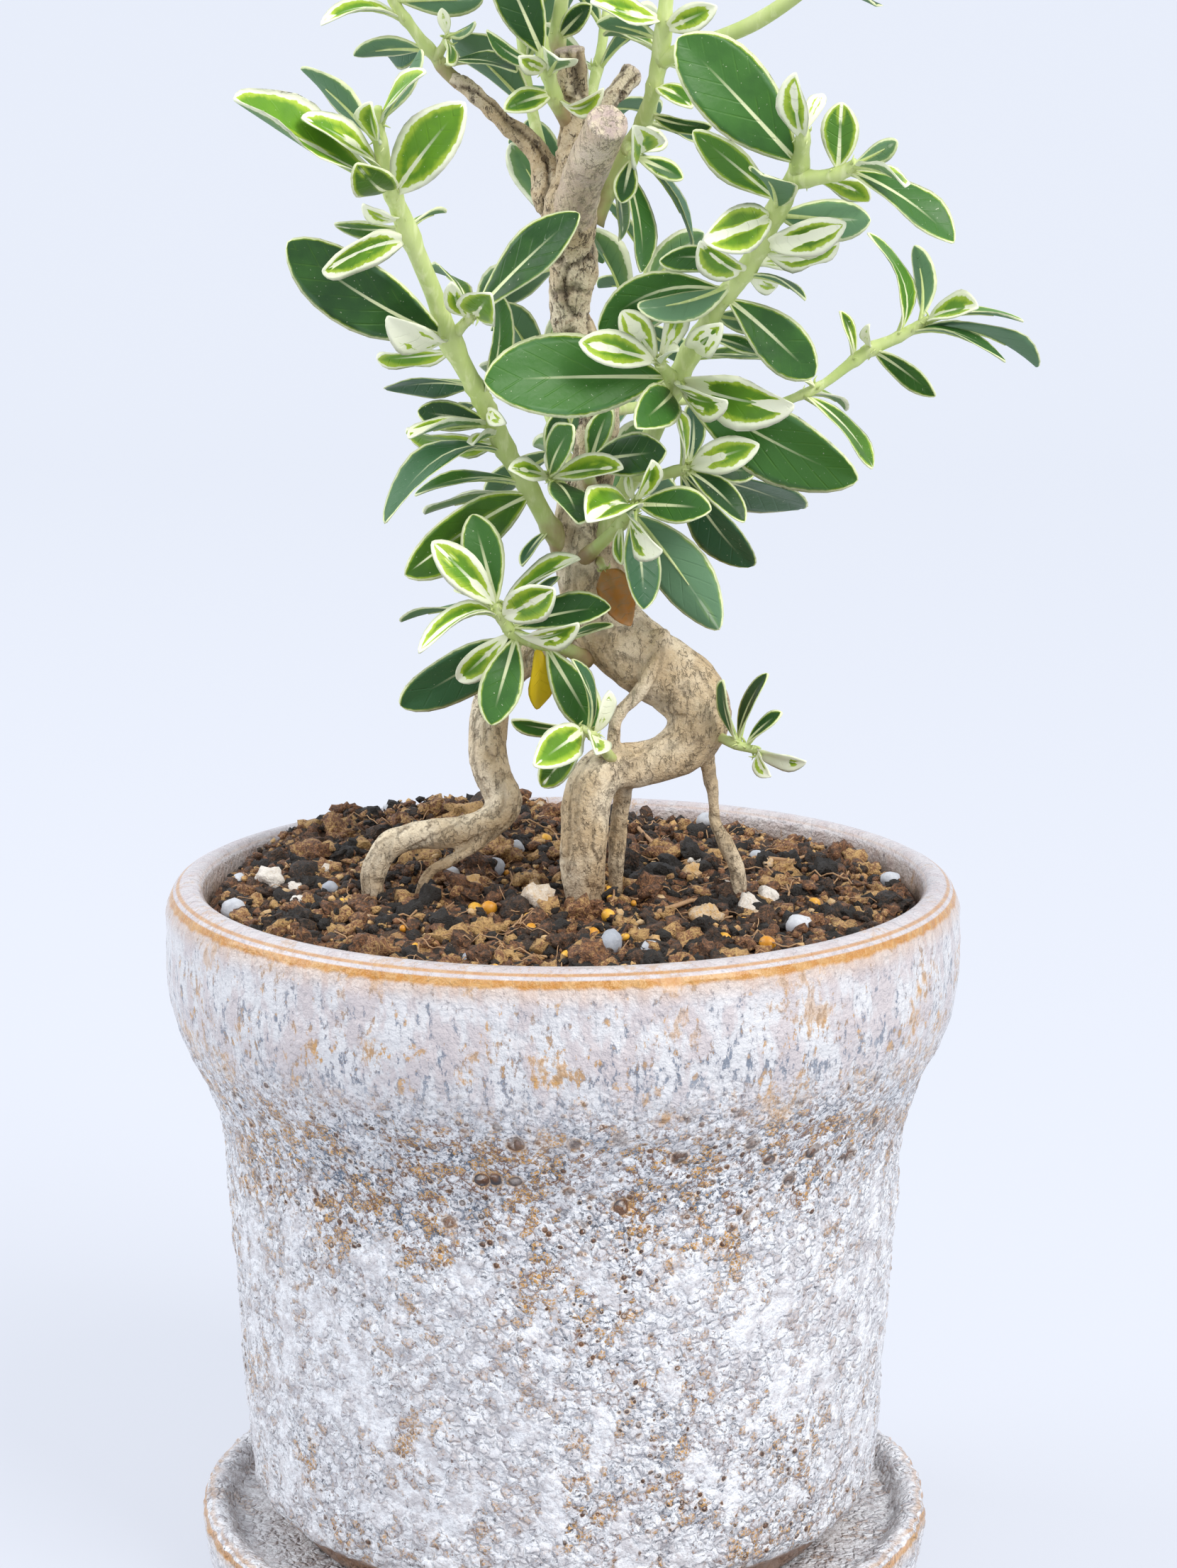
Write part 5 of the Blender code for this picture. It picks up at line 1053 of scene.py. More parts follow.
def glaze_paint(name, lip, mottled):
    """White glaze: drips on the collar, a dark bubbly band, clotted and flecked below, amber at the lip."""
    paint = Paint(name)
    height, clay = paint.height(), paint.reading("clay")
    cloud, patch, hue = paint.noise(0.030, 3.0), paint.noise(0.13, 3.0, 0.6), paint.noise(0.33, 2.0)
    fleck, speck = paint.noise(0.60, 4.0, 0.65), paint.noise(1.9, 3.0, 0.65)
    clots = paint.noise(0.19, 4.0, 0.6, paint.squeezed(1.0, 0.62))
    drips = paint.noise(0.36, 3.0, 0.6, paint.squeezed(1.0, 0.42))
    dashes = paint.noise(1.1, 4.0, 0.7, paint.squeezed(1.0, 0.5))
    swirl = paint.swirled(0.9, 0.9)
    web = paint.cells(0.80, "DISTANCE_TO_EDGE", vector=swirl)
    lace = paint.cells(2.0, "DISTANCE_TO_EDGE", vector=swirl)
    clot = paint.part(paint.cells(0.80, "F1", "Color", swirl), 0)
    collar = paint.rise(height + patch * 10.0 - fleck * 5.0, *COLLAR_FOOT)
    belt = paint.rise(height + patch * 18.0, *BELT_FOOT)
    belt = belt * (1.0 - paint.rise(height + patch * 8.0, *BELT_TOP))
    smooth = paint.rise(clots, 0.52, 0.57) * (1.0 - belt * 0.7) * (1.0 - collar)
    rough = (1.0 - smooth) * (1.0 - collar)
    dense = mottled * (0.40 + 0.45 * belt + (cloud - 0.5) * 1.5 + (patch - 0.5) * 0.9)

    colour = paint.blend(paint.rise(fleck, 0.42, 0.60), CLOT_BRIGHT, CLOT_WHITE)
    colour = paint.blend(paint.rise(clot, 0.60, 0.95) * 0.5 * rough, colour, GLAZE_LILAC)
    ochre = paint.rise(patch * 0.45 + fleck * 0.35 + clot * 0.22, 0.55, 0.61)
    ochre = ochre * paint.rise(lace, 0.0, 0.2)
    colour = paint.blend(ochre * dense * 1.5 * rough, colour, GLAZE_OCHRE)
    tint = paint.blend(paint.rise(hue, 0.47, 0.55), GLAZE_BLUE, GLAZE_RUST)
    veil = (1.0 - paint.rise(web, 0.005, 0.085)) * paint.rise(fleck, 0.42, 0.54)
    colour = paint.blend(veil * dense * 1.05 * rough, colour, tint)
    threads = (1.0 - paint.rise(lace, 0.01, 0.10)) * paint.rise(speck, 0.46, 0.56)
    colour = paint.blend(threads * dense * (1.0 - 0.7 * smooth), colour, GLAZE_BLUE)
    stipple = paint.rise(speck, 0.63 - dense * 0.08, 0.68 - dense * 0.08)
    ink = paint.blend(paint.rise(hue, 0.44, 0.54), GLAZE_INK, GLAZE_RUST)
    colour = paint.blend(stipple * (0.75 - 0.45 * smooth), colour, ink)
    swell = 0.0
    for scale, share, widest in BUBBLES:
        out, there = bubbles(paint, scale, share, widest)
        crowded = paint.rise(dense + (fleck - 0.5) * 0.8, 0.35 / scale ** 0.5, 0.60 / scale ** 0.5)
        there = there * rough * crowded
        colour = paint.blend((1.0 - paint.rise(out, 0.9, 1.6)) * there * 0.75, colour, GLAZE_OCHRE)
        ring = paint.blend(paint.rise(hue, 0.48, 0.56), GLAZE_INK, GLAZE_RUST)
        colour = paint.blend((1.0 - paint.rise(out, 1.0, 1.15)) * there * 0.95, colour, ring)
        dome = paint.blend(hue, GLAZE_WHITE, GLAZE_TAN)
        dome = paint.blend(paint.rise(clot, 0.45, 0.55), GLAZE_RUST, dome)
        colour = paint.blend((1.0 - paint.rise(out, 0.60, 0.95)) * there, colour, dome)
        swell = (1.0 - paint.rise(out, 0.2, 1.1)) * there / scale + swell

    above = paint.blend(paint.rise(drips, 0.45, 0.58) * 0.75, GLAZE_BRIGHT, GLAZE_PINK)
    above = paint.blend(paint.rise(height + patch * 6.0, *PINK_COLLAR) * 0.6, above, GLAZE_PINK)
    low = 1.0 - paint.rise(height + drips * 16.0, *SPECKLED_COLLAR)
    shade = paint.rise(dashes, 0.52 - 0.06 * low, 0.64 - 0.04 * low)
    above = paint.blend(shade * (0.30 + 0.3 * low), above, GLAZE_LILAC)
    dash = paint.rise(dashes, 0.60 - 0.07 * low, 0.65 - 0.06 * low)
    dash = dash * (1.0 - paint.rise(height, lip - 1.5, lip - 1.0))
    dash_tint = paint.blend(paint.rise(hue, 0.54, 0.62), GLAZE_BLUE, GLAZE_OCHRE)
    above = paint.blend(dash * (0.6 + 0.25 * low), above, dash_tint)
    above = paint.blend(stipple * paint.rise(dashes, 0.48, 0.58) * 0.5, above, GLAZE_BLUE)
    rusty = paint.rise(patch * 0.5 + dashes * 0.5, 0.555 - 0.02 * low, 0.60)
    above = paint.blend(rusty * (0.35 + 0.4 * low), above, GLAZE_OCHRE)
    colour = paint.blend(collar, colour, above)

    ragged = height + (drips - 0.5) * 1.2
    outer = paint.rise(paint.spread(), 0.9, 0.96)
    fade = paint.rise(ragged, lip - 4.5, lip - 1.8) * (1.0 - paint.rise(height, lip - 1.6, lip - 1.2))
    colour = paint.blend(fade * outer * 0.35, colour, GLAZE_OCHRE)
    inside = (1.0 - outer) * paint.rise(height, *TAN_INSIDE)
    inside = inside * (1.0 - paint.rise(ragged, lip - 5.0, lip - 1.0))
    colour = paint.blend(inside * 0.6, colour, GLAZE_TAN)
    line = paint.rise(ragged, lip - 2.2, lip - 1.7) * (1.0 - paint.rise(height, lip - 1.15, lip - 0.95))
    line = paint.greater(line, 0.8 * (1.0 - paint.rise(abs(height - (lip - 0.55)), 0.06, 0.20)))
    amber = paint.blend(paint.rise(fleck, 0.38, 0.62), GLAZE_AMBER, GLAZE_OCHRE)
    colour = paint.blend(line * outer * 0.95, colour, amber)
    colour = paint.blend(clay * (0.75 + 0.25 * fleck), colour, CLAY_BROWN)
    paint.put({"Base Color": colour, "Roughness": 0.14 + 0.22 * fleck + 0.35 * clay,
               "Coat Weight": 0.3, "Coat Roughness": 0.06})
    lumps = paint.rise(web, 0.0, 0.30) * (1.0 - smooth * 0.7) * (1.0 - collar * 0.8)
    flow = clots * 1.2 + drips * collar * 0.8
    paint.relief(lumps * 0.5 + fleck * 1.1 + speck * 0.35 + flow + swell * 0.6, 0.55)
    return paint.material


SOIL_BLACK = (0.022, 0.017, 0.013)
SOIL_BROWN = (0.100, 0.052, 0.027)
SOIL_RED = (0.280, 0.120, 0.052)
SOIL_TAN = (0.640, 0.390, 0.150)
GRIT_WHITE = (0.700, 0.640, 0.540)
SOIL_STOPS = ((0.25, SOIL_BLACK), (0.55, SOIL_BROWN), (0.74, SOIL_RED), (0.92, SOIL_TAN))
CRUMB_STOPS = ((0.32, SOIL_BLACK), (0.54, SOIL_BROWN), (0.72, SOIL_RED), (0.90, SOIL_TAN))
TAN_STOPS = ((0.10, SOIL_BROWN), (0.40, SOIL_RED), (0.70, SOIL_TAN), (0.98, (0.60, 0.44, 0.26)))
PALE_STOPS = ((0.1, SOIL_TAN), (0.4, (0.62, 0.50, 0.37)), (0.8, (0.80, 0.74, 0.66)))
BEAD_STOPS = ((0.1, (0.36, 0.38, 0.42)), (0.9, (0.62, 0.63, 0.65)))
PRILL_STOPS = ((0.1, (0.60, 0.25, 0.02)), (0.9, (0.84, 0.46, 0.05)))
FIBRE_STOPS = ((0.1, SOIL_RED), (0.9, (0.50, 0.34, 0.18)))


def soil_paint():
    """Black-brown soil with redder and paler crumbs in it."""
    paint = Paint("soil")
    tone = paint.part(paint.cells(0.75, "F1", "Color", paint.swirled(0.8, 0.8)), 0)
    cloud, grain, speck = paint.noise(0.10, 3.0), paint.noise(1.4, 4.0, 0.7), paint.noise(3.6, 2.0, 0.6)
    colour = paint.ramp(tone * 0.6 + cloud * 0.5, SOIL_STOPS)
    colour = paint.blend(paint.rise(grain, 0.60, 0.74) * 0.7, colour, SOIL_TAN)
    colour = paint.blend((1.0 - paint.rise(grain, 0.34, 0.46)) * 0.85, colour, SOIL_BLACK)
    colour = paint.blend(paint.rise(speck, 0.66, 0.72) * 0.8, colour, GRIT_WHITE)
    paint.put({"Base Color": colour, "Roughness": 0.55 + 0.3 * grain})
    paint.relief(grain + speck * 0.5, 1.0)
    return paint.material


def grain_paint(name, stops, gloss, depth):
    """Crumbs, grit or beads whose colour runs along the stops from grain to grain."""
    paint = Paint(name)
    tone = paint.reading("tone")
    grain, speck = paint.noise(1.6, 4.0, 0.65), paint.noise(4.0, 2.0, 0.6)
    colour = paint.ramp(tone * 0.85 + (grain - 0.5) * 0.9 + (speck - 0.5) * 0.5 + 0.08, stops)
    paint.put({"Base Color": colour, "Roughness": gloss + 0.25 * grain})
    paint.relief(grain + speck * 0.5, depth)
    return paint.material


# Pieces
def piece_from(bm, name, finish, nodes, numbers=None):
    """Turn a mesh drawn in millimetres into a finished piece that stands for CAD nodes."""
    bmesh.ops.scale(bm, vec=(MM, MM, MM), verts=bm.verts)
    mesh = bpy.data.meshes.new(name)
    bm.to_mesh(mesh)
    bm.free()
    for reading, values in (numbers or {}).items():
        mesh.attributes.new(reading, "FLOAT", "POINT").data.foreach_set("value", values)
    mesh.shade_smooth()
    mesh.materials.append(finish)
    piece = bpy.data.objects.new(name, mesh)
    bpy.context.scene.collection.objects.link(piece)
    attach(piece, "root")
    if nodes:
        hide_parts(*nodes)


LEAF_ROWS = 14
LEAF_COLUMNS = 8
FINE_THICKNESS = 0.34
RIB_GROOVE = 0.14
LEAF_READINGS = ("edge", "along", "rib", "margin", "fresh", "cream", "under", "draw", "teal", "yellowed",
                 "withered")

# Margin width in millimetres, freshness, streaking and the teal cast of each look
LOOK_FINISH = {
    "dark": (0.30, 0.05, 0.0, 0.1), "green": (0.34, 0.30, 0.1, 0.0), "young": (0.62, 0.80, 0.35, 0.0),
    "cream": (0.85, 0.65, 1.00, 0.0), "sage": (0.34, 0.15, 0.1, 0.6), "teal": (0.26, 0.05, 0.0, 1.0),
    "old": (0.40, 0.90, 0.3, 0.0), "brown": (0.60, 0.60, 0.6, 0.0),
}
# Where the tip of the yellowed leaf shows in the window
YELLOW_TIP = (68.5, 90.4)


def fine_half(leaf, u):
    """Half breadth of the fine blade: narrow at its base, broad past the middle and round at its end."""
    return leaf.breadth / 2 * math.sin(math.pi * u ** 1.42) ** 0.58 if 0 < u < 1 else 0.0


def add_blade(bm, layers, leaf, withered):
    """Add one fine leaf: an upper and a lower face that meet at a sharp edge, grooved over the midrib."""
    margin, fresh, cream, teal = LOOK_FINISH[leaf.look]
    yellowed = float((leaf.tip - sighted(*YELLOW_TIP, leaf.tip.y)).length < 1.0)
    made = []
    for side in (1, -1):
        grid = bmesh.ops.create_grid(bm, x_segments=LEAF_ROWS, y_segments=LEAF_COLUMNS, size=1.0)
        corners = grid["verts"]
        for vert in corners:
            u, v = (1 - math.cos(math.pi * (vert.co.x + 1) / 2)) / 2, vert.co.y
            half = fine_half(leaf, u)
            rib = abs(v) * half
            share = half / leaf.half(u) if half else 1.0
            body = FINE_THICKNESS / 2 * (1 - v ** 4) * (1.0 if 0 < u < 1 else 0.0)
            groove = RIB_GROOVE * math.exp(-(rib / 0.4) ** 2) * (1 - u)
            vert.co = leaf.at(u, v * share) + leaf.normal * (side * body - groove)
            readings = ((1 - abs(v)) * half, u, rib, margin * (0.7 + 0.6 * leaf.draw), fresh, cream,
                        float(side < 0), leaf.draw, teal, yellowed, withered)
            for layer, value in zip(layers, readings):
                vert[layer] = value
        faces = list({face for vert in corners for face in vert.link_faces})
        total = Vector()
        for face in faces:
            face.normal_update()
            total += face.normal * face.calc_area()
        if total.dot(leaf.normal) * side < 0:
            bmesh.ops.reverse_faces(bm, faces=faces)
        made += corners
    bmesh.ops.remove_doubles(bm, verts=made, dist=0.002)


STEM_SPAN = 5
STEM_AGE_REACH = 14.0
FINE_STEM_SIDES = 16
FINE_STALK_SIDES = 8
STEM_SLIM = 0.72
NODE_SWELL = 0.25
NODE_REACH = 0.7
FOOT_FLARE = 0.6
FOOT_REACH = 1.6
PETIOLE = 0.34
STIPULE_LENGTH = 1.1


def join_meshes(bm, other):
    """Add one mesh to another."""
    mesh = bpy.data.meshes.new("joined")
    other.to_mesh(mesh)
    other.free()
    bm.from_mesh(mesh)
    bpy.data.meshes.remove(mesh)
    return bm


def fine_stem(route, leaves):
    """Return a stem's smooth way, swollen where leaves stand on it and flared at its foot."""
    way, foot, last = [], 0.0, None
    for place, radius in smooth_route(route, STEM_SPAN):
        foot += (place - last).length if last else 0.0
        near = min((place - leaf.root).length for leaf in leaves)
        swell = NODE_SWELL * math.exp(-(near / NODE_REACH) ** 2) + FOOT_FLARE * math.exp(-foot / FOOT_REACH)
        way.append((place, radius * STEM_SLIM * (1.0 + swell)))
        last = place
    return way


def petiole(leaf):
    """Return the way of a leaf's stalk and the rib that it becomes under the blade."""
    slim = min(1.0, 0.5 + leaf.length / 24.0)
    way = [(leaf.root - (leaf.tip - leaf.root).normalized() * 0.5, PETIOLE * 1.5 * slim)]
    for u in (0.0, 0.06, 0.14, 0.25, 0.4, 0.55, 0.7):
        place = leaf.at(u, 0.0) - leaf.normal * (0.08 + FINE_THICKNESS / 2)
        way.append((place, PETIOLE * slim * (1.05 - 1.2 * u)))
    return way


def stipules(leaf):
    """Return the ways of the two little spikes that stand by a leaf's stalk."""
    along = (leaf.tip - leaf.root).normalized()
    return [[(leaf.root + leaf.side * (0.45 * side), 0.20),
             (leaf.root + leaf.side * (0.75 * side) + leaf.normal * 0.45 + along * 0.25, 0.13),
             (leaf.root + leaf.side * (0.85 * side) + leaf.normal * STIPULE_LENGTH + along * 0.3, 0.03)]
            for side in (-1, 1)]


def make_spray(name, leaves, leaf_finish, stem_finish):
    """Make one leafy stem: its leaves as one piece, its stems, stalks and ribs as another."""
    bm = bmesh.new()
    layers = [bm.verts.layers.float.new(reading) for reading in LEAF_READINGS]
    for leaf in leaves:
        add_blade(bm, layers, leaf, float(name == "dry_leaf"))
    slot = "withered_leaf" if name == "dry_leaf" else "leaf"
    piece_from(bm, name + "_blades", leaf_finish, (name,))
    routes = STEMS.get(name) or (GROWN_STEMS[name],)
    ways = [fine_stem(route, leaves) for route in routes]
    extras = [petiole(leaf) for leaf in leaves] + [spike for leaf in leaves for spike in stipules(leaf)]
    bm = join_meshes(tubes(ways, FINE_STEM_SIDES), tubes(extras, FINE_STALK_SIDES))
    foot = ways[0][0][0]
    ages = [max(0.0, 1.0 - (vert.co - foot).length / STEM_AGE_REACH) for vert in bm.verts]
    piece_from(bm, name + "_stems", stem_finish, (), {"age": ages})


BARK_VOXEL = 0.38
BARK_SPAN = 4
BARK_SIDES = 20
CRACK_DEPTH = 0.42
KNOB_DEPTH = 0.42
CUT_ENDS = ("cut_limb_front", "cut_limb_middle", "cut_limb_right")
# The bark's pattern starts this much further along on each next way
WAY_APART = 100.0
MARKS_A_SPAN = 3
# The bark is least rough near the soil and roughens above this height, the front stub apart
LEAST_ROUGH = 0.22
STUB_ROUGH = 0.1
ROUGH_FROM = 124.0
ROUGH_RISE = 30.0


def bark_skin(ways):
    """Join the tubes along the ways into one smooth skin."""
    bm = tubes(ways, BARK_SIDES)
    mesh = bpy.data.meshes.new("bark_form")
    bm.to_mesh(mesh)
    bm.free()
    form = bpy.data.objects.new("bark_form", mesh)
    bpy.context.scene.collection.objects.link(form)
    remesh = form.modifiers.new("skin", "REMESH")
    remesh.mode = "VOXEL"
    remesh.voxel_size = BARK_VOXEL
    soften = form.modifiers.new("soften", "SMOOTH")
    soften.factor = 0.5
    soften.iterations = 5
    bm = shape_of(form)
    bpy.data.objects.remove(form)
    bpy.data.meshes.remove(mesh)
    return bm


def way_marks(ways):
    """Return marks along the ways: place, direction, radius, run along the way and the way's number."""
    marks = []
    for index, way in enumerate(ways):
        run = index * WAY_APART
        for (start, r0), (end, r1) in zip(way, way[1:]):
            along = (end - start).normalized()
            for step in range(MARKS_A_SPAN):
                t = step / MARKS_A_SPAN
                gone = (end - start).length * t
                marks.append((start.lerp(end, t), along, r0 + (r1 - r0) * t, run + gone, index))
            run += (end - start).length
    return marks


def make_trunk():
    """Make the trunk, its roots and cut limbs as one skin, then raise its bark."""
    ways = [smooth_route(route, BARK_SPAN) for route in (TRUNK, *LIMBS.values())]
    bm = bark_skin(ways)
    marks = way_marks(ways)
    tree = KDTree(len(marks))
    for number, mark in enumerate(marks):
        tree.insert(mark[0], number)
    tree.balance()
    ends, stub = [], 1 + list(LIMBS).index(CUT_ENDS[0])
    for name in CUT_ENDS:
        way = smooth_route(LIMBS[name], BARK_SPAN)
        ends.append((way[-1][0], (way[-1][0] - way[-2][0]).normalized(), way[-1][1]))
    readings = {"crack": [], "rough": [], "cut": []}
    bm.normal_update()
    for vert in bm.verts:
        place = vert.co.copy()
        near = min(tree.find_n(place, 8), key=lambda found: found[2] - marks[found[1]][2])
        axis, along, radius, run, index = marks[near[1]]
        out = place - axis
        out -= along * out.dot(along)
        turn = out.normalized() * radius
        grain = Vector((turn.x * 0.42, turn.y * 0.42, turn.z * 0.42 + run * 0.16))
        rough = STUB_ROUGH
        if index != stub:
            rough = min(1.0, max(LEAST_ROUGH, (place.z - ROUGH_FROM) / ROUGH_RISE))
        ridge = 1.0 - abs(noise.noise(grain)) * 2.0
        crack = min(1.0, max(0.0, (ridge - 0.70) / 0.24))
        knob = noise.fractal(place * 0.22, 0.9, 2.0, 3)
        fine = noise.noise(place * 0.9)
        cut = 0.45 if index == stub else 0.0
        for tip, direction, end_radius in ends:
            past = (place - tip).dot(direction)
            if past > -0.45 and (place - tip).length < end_radius * 1.3:
                cut = 1.0
        lift = KNOB_DEPTH * knob * (0.35 + rough) + 0.10 * fine * rough - CRACK_DEPTH * crack * rough
        vert.co = place + vert.normal * (lift * (1.0 - 0.8 * cut) + 0.05)
        for reading, value in zip(readings.values(), (crack, rough, cut)):
            reading.append(value)
    piece_from(bm, "trunk_bark", bark_paint(), ("trunk",), readings)


# Steps around each turned skin, and how far apart the rows of its section lie
POT_STEPS = 470
SAUCER_STEPS = 360
SOIL_STEPS = 320
FINE_ROW = 0.62
SAUCER_ROW = 0.868
PLAIN_ROW = 4.0
# Heights up to which the glaze is most clotted
POT_CLOTTED = 70.0
SAUCER_CLOTTED = 12.0


def rounded(profile, pace, closed):
    """Return a profile with its corners eased and points as close as the pace there asks."""
    corners = [Vector(point) for point in profile]
    count = len(corners)
    eased = []
    for index, corner in enumerate(corners):
        if not closed and index in (0, count - 1):
            eased.append(corner)
            continue
        before, after = corners[index - 1], corners[(index + 1) % count]
        reach = min((corner - before).length, (after - corner).length) * 0.32
        start = corner + (before - corner).normalized() * reach
        end = corner + (after - corner).normalized() * reach
        steps = 4 if reach > 2.0 else 2
        for step in range(steps + 1):
            t = step / steps
            eased.append(start * (1 - t) ** 2 + corner * (2 * t * (1 - t)) + end * t ** 2)
    if closed:
        eased.append(eased[0])
    dense = []
    for start, end in zip(eased, eased[1:]):
        parts = max(1, math.ceil((end - start).length / pace(start)))
        dense += [start.lerp(end, part / parts) for part in range(parts)]
    return dense if closed else dense + [eased[-1]]


def spun(profile, steps, closed):
    """Turn a profile of radius and height about the upright axis."""
    bm = bmesh.new()
    corners = [bm.verts.new((point.x, 0.0, point.y)) for point in profile]
    pairs = list(zip(corners, corners[1:]))
    if closed:
        pairs.append((corners[-1], corners[0]))
    for pair in pairs:
        bm.edges.new(pair)
    mesh = bpy.data.meshes.new("section")
    bm.to_mesh(mesh)
    bm.free()
    section = bpy.data.objects.new("section", mesh)
    bpy.context.scene.collection.objects.link(section)
    screw = section.modifiers.new("turn", "SCREW")
    screw.steps = screw.render_steps = steps
    screw.use_merge_vertices = True
    screw.merge_threshold = 0.01
    turned = shape_of(section)
    bpy.data.objects.remove(section)
    bpy.data.meshes.remove(mesh)
    return turned


def glaze_relief(bm, inner, clotted):
    """Raise clots and drips of glaze outside a radius set by the height, fewer above the clotted part."""
    bm.normal_update()
    for vert in bm.verts:
        place = vert.co
        if math.hypot(place.x, place.y) < inner(place.z):
            continue
        below = min(1.0, max(0.0, (clotted + 8.0 - place.z) / 12.0))
        lumps = 0.32 * noise.noise(place * 0.42) + 0.34 * abs(noise.noise(place * 0.85))
        lumps += 0.20 * noise.noise(place * 1.6)
        drips = Vector((place.x * 0.32, place.y * 0.32, place.z * 0.11))
        waves = 0.28 * noise.noise(drips) + 0.14 * noise.noise(drips * 2.6)
        ends = min(1.0, max(0.0, (POT_RIM_HEIGHT - 1.0 - place.z) / 2.5), max(0.0, (place.z - 0.2) / 2.0))
        vert.co += vert.normal * (lumps * (0.25 + 0.75 * below) + waves) * ends


def outside_pot(away, height):
    """Tell whether a point of the pot's skin is on its outside or its lip."""
    return height > POT_RIM_HEIGHT - 1.5 or (height > 13.0 and away > inner_radius(height) + 1.5)


def pot_pace(point):
    """Return how far apart the rows of the pot's skin lie at a point of its section."""
    return FINE_ROW if outside_pot(point.x, point.y) else PLAIN_ROW


def saucer_pace(point):
    """Return how far apart the rows of the saucer's skin lie at a point of its section."""
    return SAUCER_ROW if point.y > 1.0 else PLAIN_ROW


def pot_core(height):
    """Return the radius beyond which the pot's skin has relief."""
    return inner_radius(height) + 1.5


def saucer_core(_):
    """Return the radius beyond which the saucer's skin has relief, the same at every height."""
    return SAUCER_RIM_RADIUS - 4.0


def make_pot():
    """Make the pot's glazed skin over its whole section."""
    bm = spun(rounded(pot_profile(), pot_pace, True), POT_STEPS, True)
    glaze_relief(bm, pot_core, POT_CLOTTED)
    clay = [float(not outside_pot(math.hypot(vert.co.x, vert.co.y), vert.co.z)) for vert in bm.verts]
    finish = glaze_paint("pot_glaze", POT_RIM_HEIGHT, 1.0)
    piece_from(bm, "pot_glazed", finish, ("pot",), {"clay": clay})


def make_saucer():
    """Make the saucer's glazed skin, bare clay where it stands."""
    bm = spun(rounded(saucer_profile(), saucer_pace, False), SAUCER_STEPS, False)
    glaze_relief(bm, saucer_core, SAUCER_CLOTTED)
    clay = [float(vert.co.z < 0.4) for vert in bm.verts]
    finish = glaze_paint("saucer_glaze", SAUCER_RIM_HEIGHT + 0.3, 0.55)
    piece_from(bm, "saucer_glazed", finish, ("saucer",), {"clay": clay})


SOIL_PACE = 0.55


def ground(x, y):
    """Height of the fine soil surface: the solid's own, with crumbs and hollows on it."""
    place = Vector((x, y, 0.0))
    lumps = 1.3 * noise.noise(place * 0.22 + Vector((3.0, 0.0, 0.0))) + 0.8 * noise.noise(place * 0.55)
    cells = noise.voronoi(place * 0.42)[0][0]
    return soil_height(x, y) + lumps * 0.8 + 0.9 * (0.5 - cells) + 0.25 * noise.noise(place * 1.6)


def make_soil():
    """Make the soil body with a crumbly top."""
    walls = [POT_FLOOR_TOP + GAP, *WALL_TURNS, SOIL_LEVEL - 0.8]
    wall = [Vector((inner_radius(height) - GAP - 0.25, height)) for height in walls]
    edge = wall[-1].x - 0.4
    rings = int(edge / SOIL_PACE)
    profile = [Vector((edge * ring / rings, SOIL_LEVEL)) for ring in range(rings + 1)]
    profile += wall[::-1] + [Vector((0.0, walls[0]))]
    bm = spun(profile, SOIL_STEPS, False)
    for vert in bm.verts:
        if vert.co.z > SOIL_LEVEL - 0.1:
            away = math.hypot(vert.co.x, vert.co.y) / edge
            top = ground(vert.co.x, vert.co.y)
            vert.co.z = top - 0.9 * max(0.0, away - 0.93) / 0.07
    piece_from(bm, "soil_bed", soil_paint(), ("soil",))


BATCH = 40
GRAIN_REACH = 43.6
GRAIN_TILT = 1.2


def scatter(name, finish, spots, subdivisions, roughness):
    """Lay lumpy grains, each at its place, size, flatness and turn, as one piece."""
    whole = bmesh.new()
    for first in range(0, len(spots), BATCH):
        bm = bmesh.new()
        tone = bm.verts.layers.float.new("tone")
        for place, size, flat, turn, shade in spots[first:first + BATCH]:
            made = bmesh.ops.create_icosphere(bm, subdivisions=subdivisions, radius=1.0)["verts"]
            shift = Vector((shade * 57.0, place.x, place.y))
            for vert in made:
                swell = 1.0 + roughness * noise.noise(vert.co * 1.3 + shift)
                swell += 0.55 * roughness * noise.noise(vert.co * 3.3 + shift)
                spot = Vector((vert.co.x, vert.co.y * (0.7 + 0.3 * shade), vert.co.z * flat))
                spot *= swell * size
                spot.rotate(turn)
                vert.co = place + spot
                vert[tone] = shade
        mesh = bpy.data.meshes.new("grains")
        bm.to_mesh(mesh)
        bm.free()
        whole.from_mesh(mesh)
        bpy.data.meshes.remove(mesh)
    piece_from(whole, name, finish, ())


def strewn(count, sizes, sink, seed, flat=(0.6, 0.9)):
    """Draw places for grains all over the soil, small ones more often than large ones."""
    draws = random.Random(seed)
    spots = []
    for _ in range(count):
        away, angle = GRAIN_REACH * math.sqrt(draws.random()), draws.uniform(0.0, math.tau)
        size = sizes[0] + (sizes[1] - sizes[0]) * draws.random() ** 2
        away = min(away, GRAIN_REACH - size)
        x, y = away * math.cos(angle), away * math.sin(angle)
        axis = (draws.uniform(-1, 1), draws.uniform(-1, 1), draws.uniform(-1, 1))
        turn = Quaternion(axis, draws.uniform(0, GRAIN_TILT))
        turn.rotate(Quaternion((0, 0, 1), draws.uniform(0, math.tau)))
        place = Vector((x, y, ground(x, y) + size * sink))
        spots.append((place, size, draws.uniform(*flat), turn, draws.random()))
    return spots


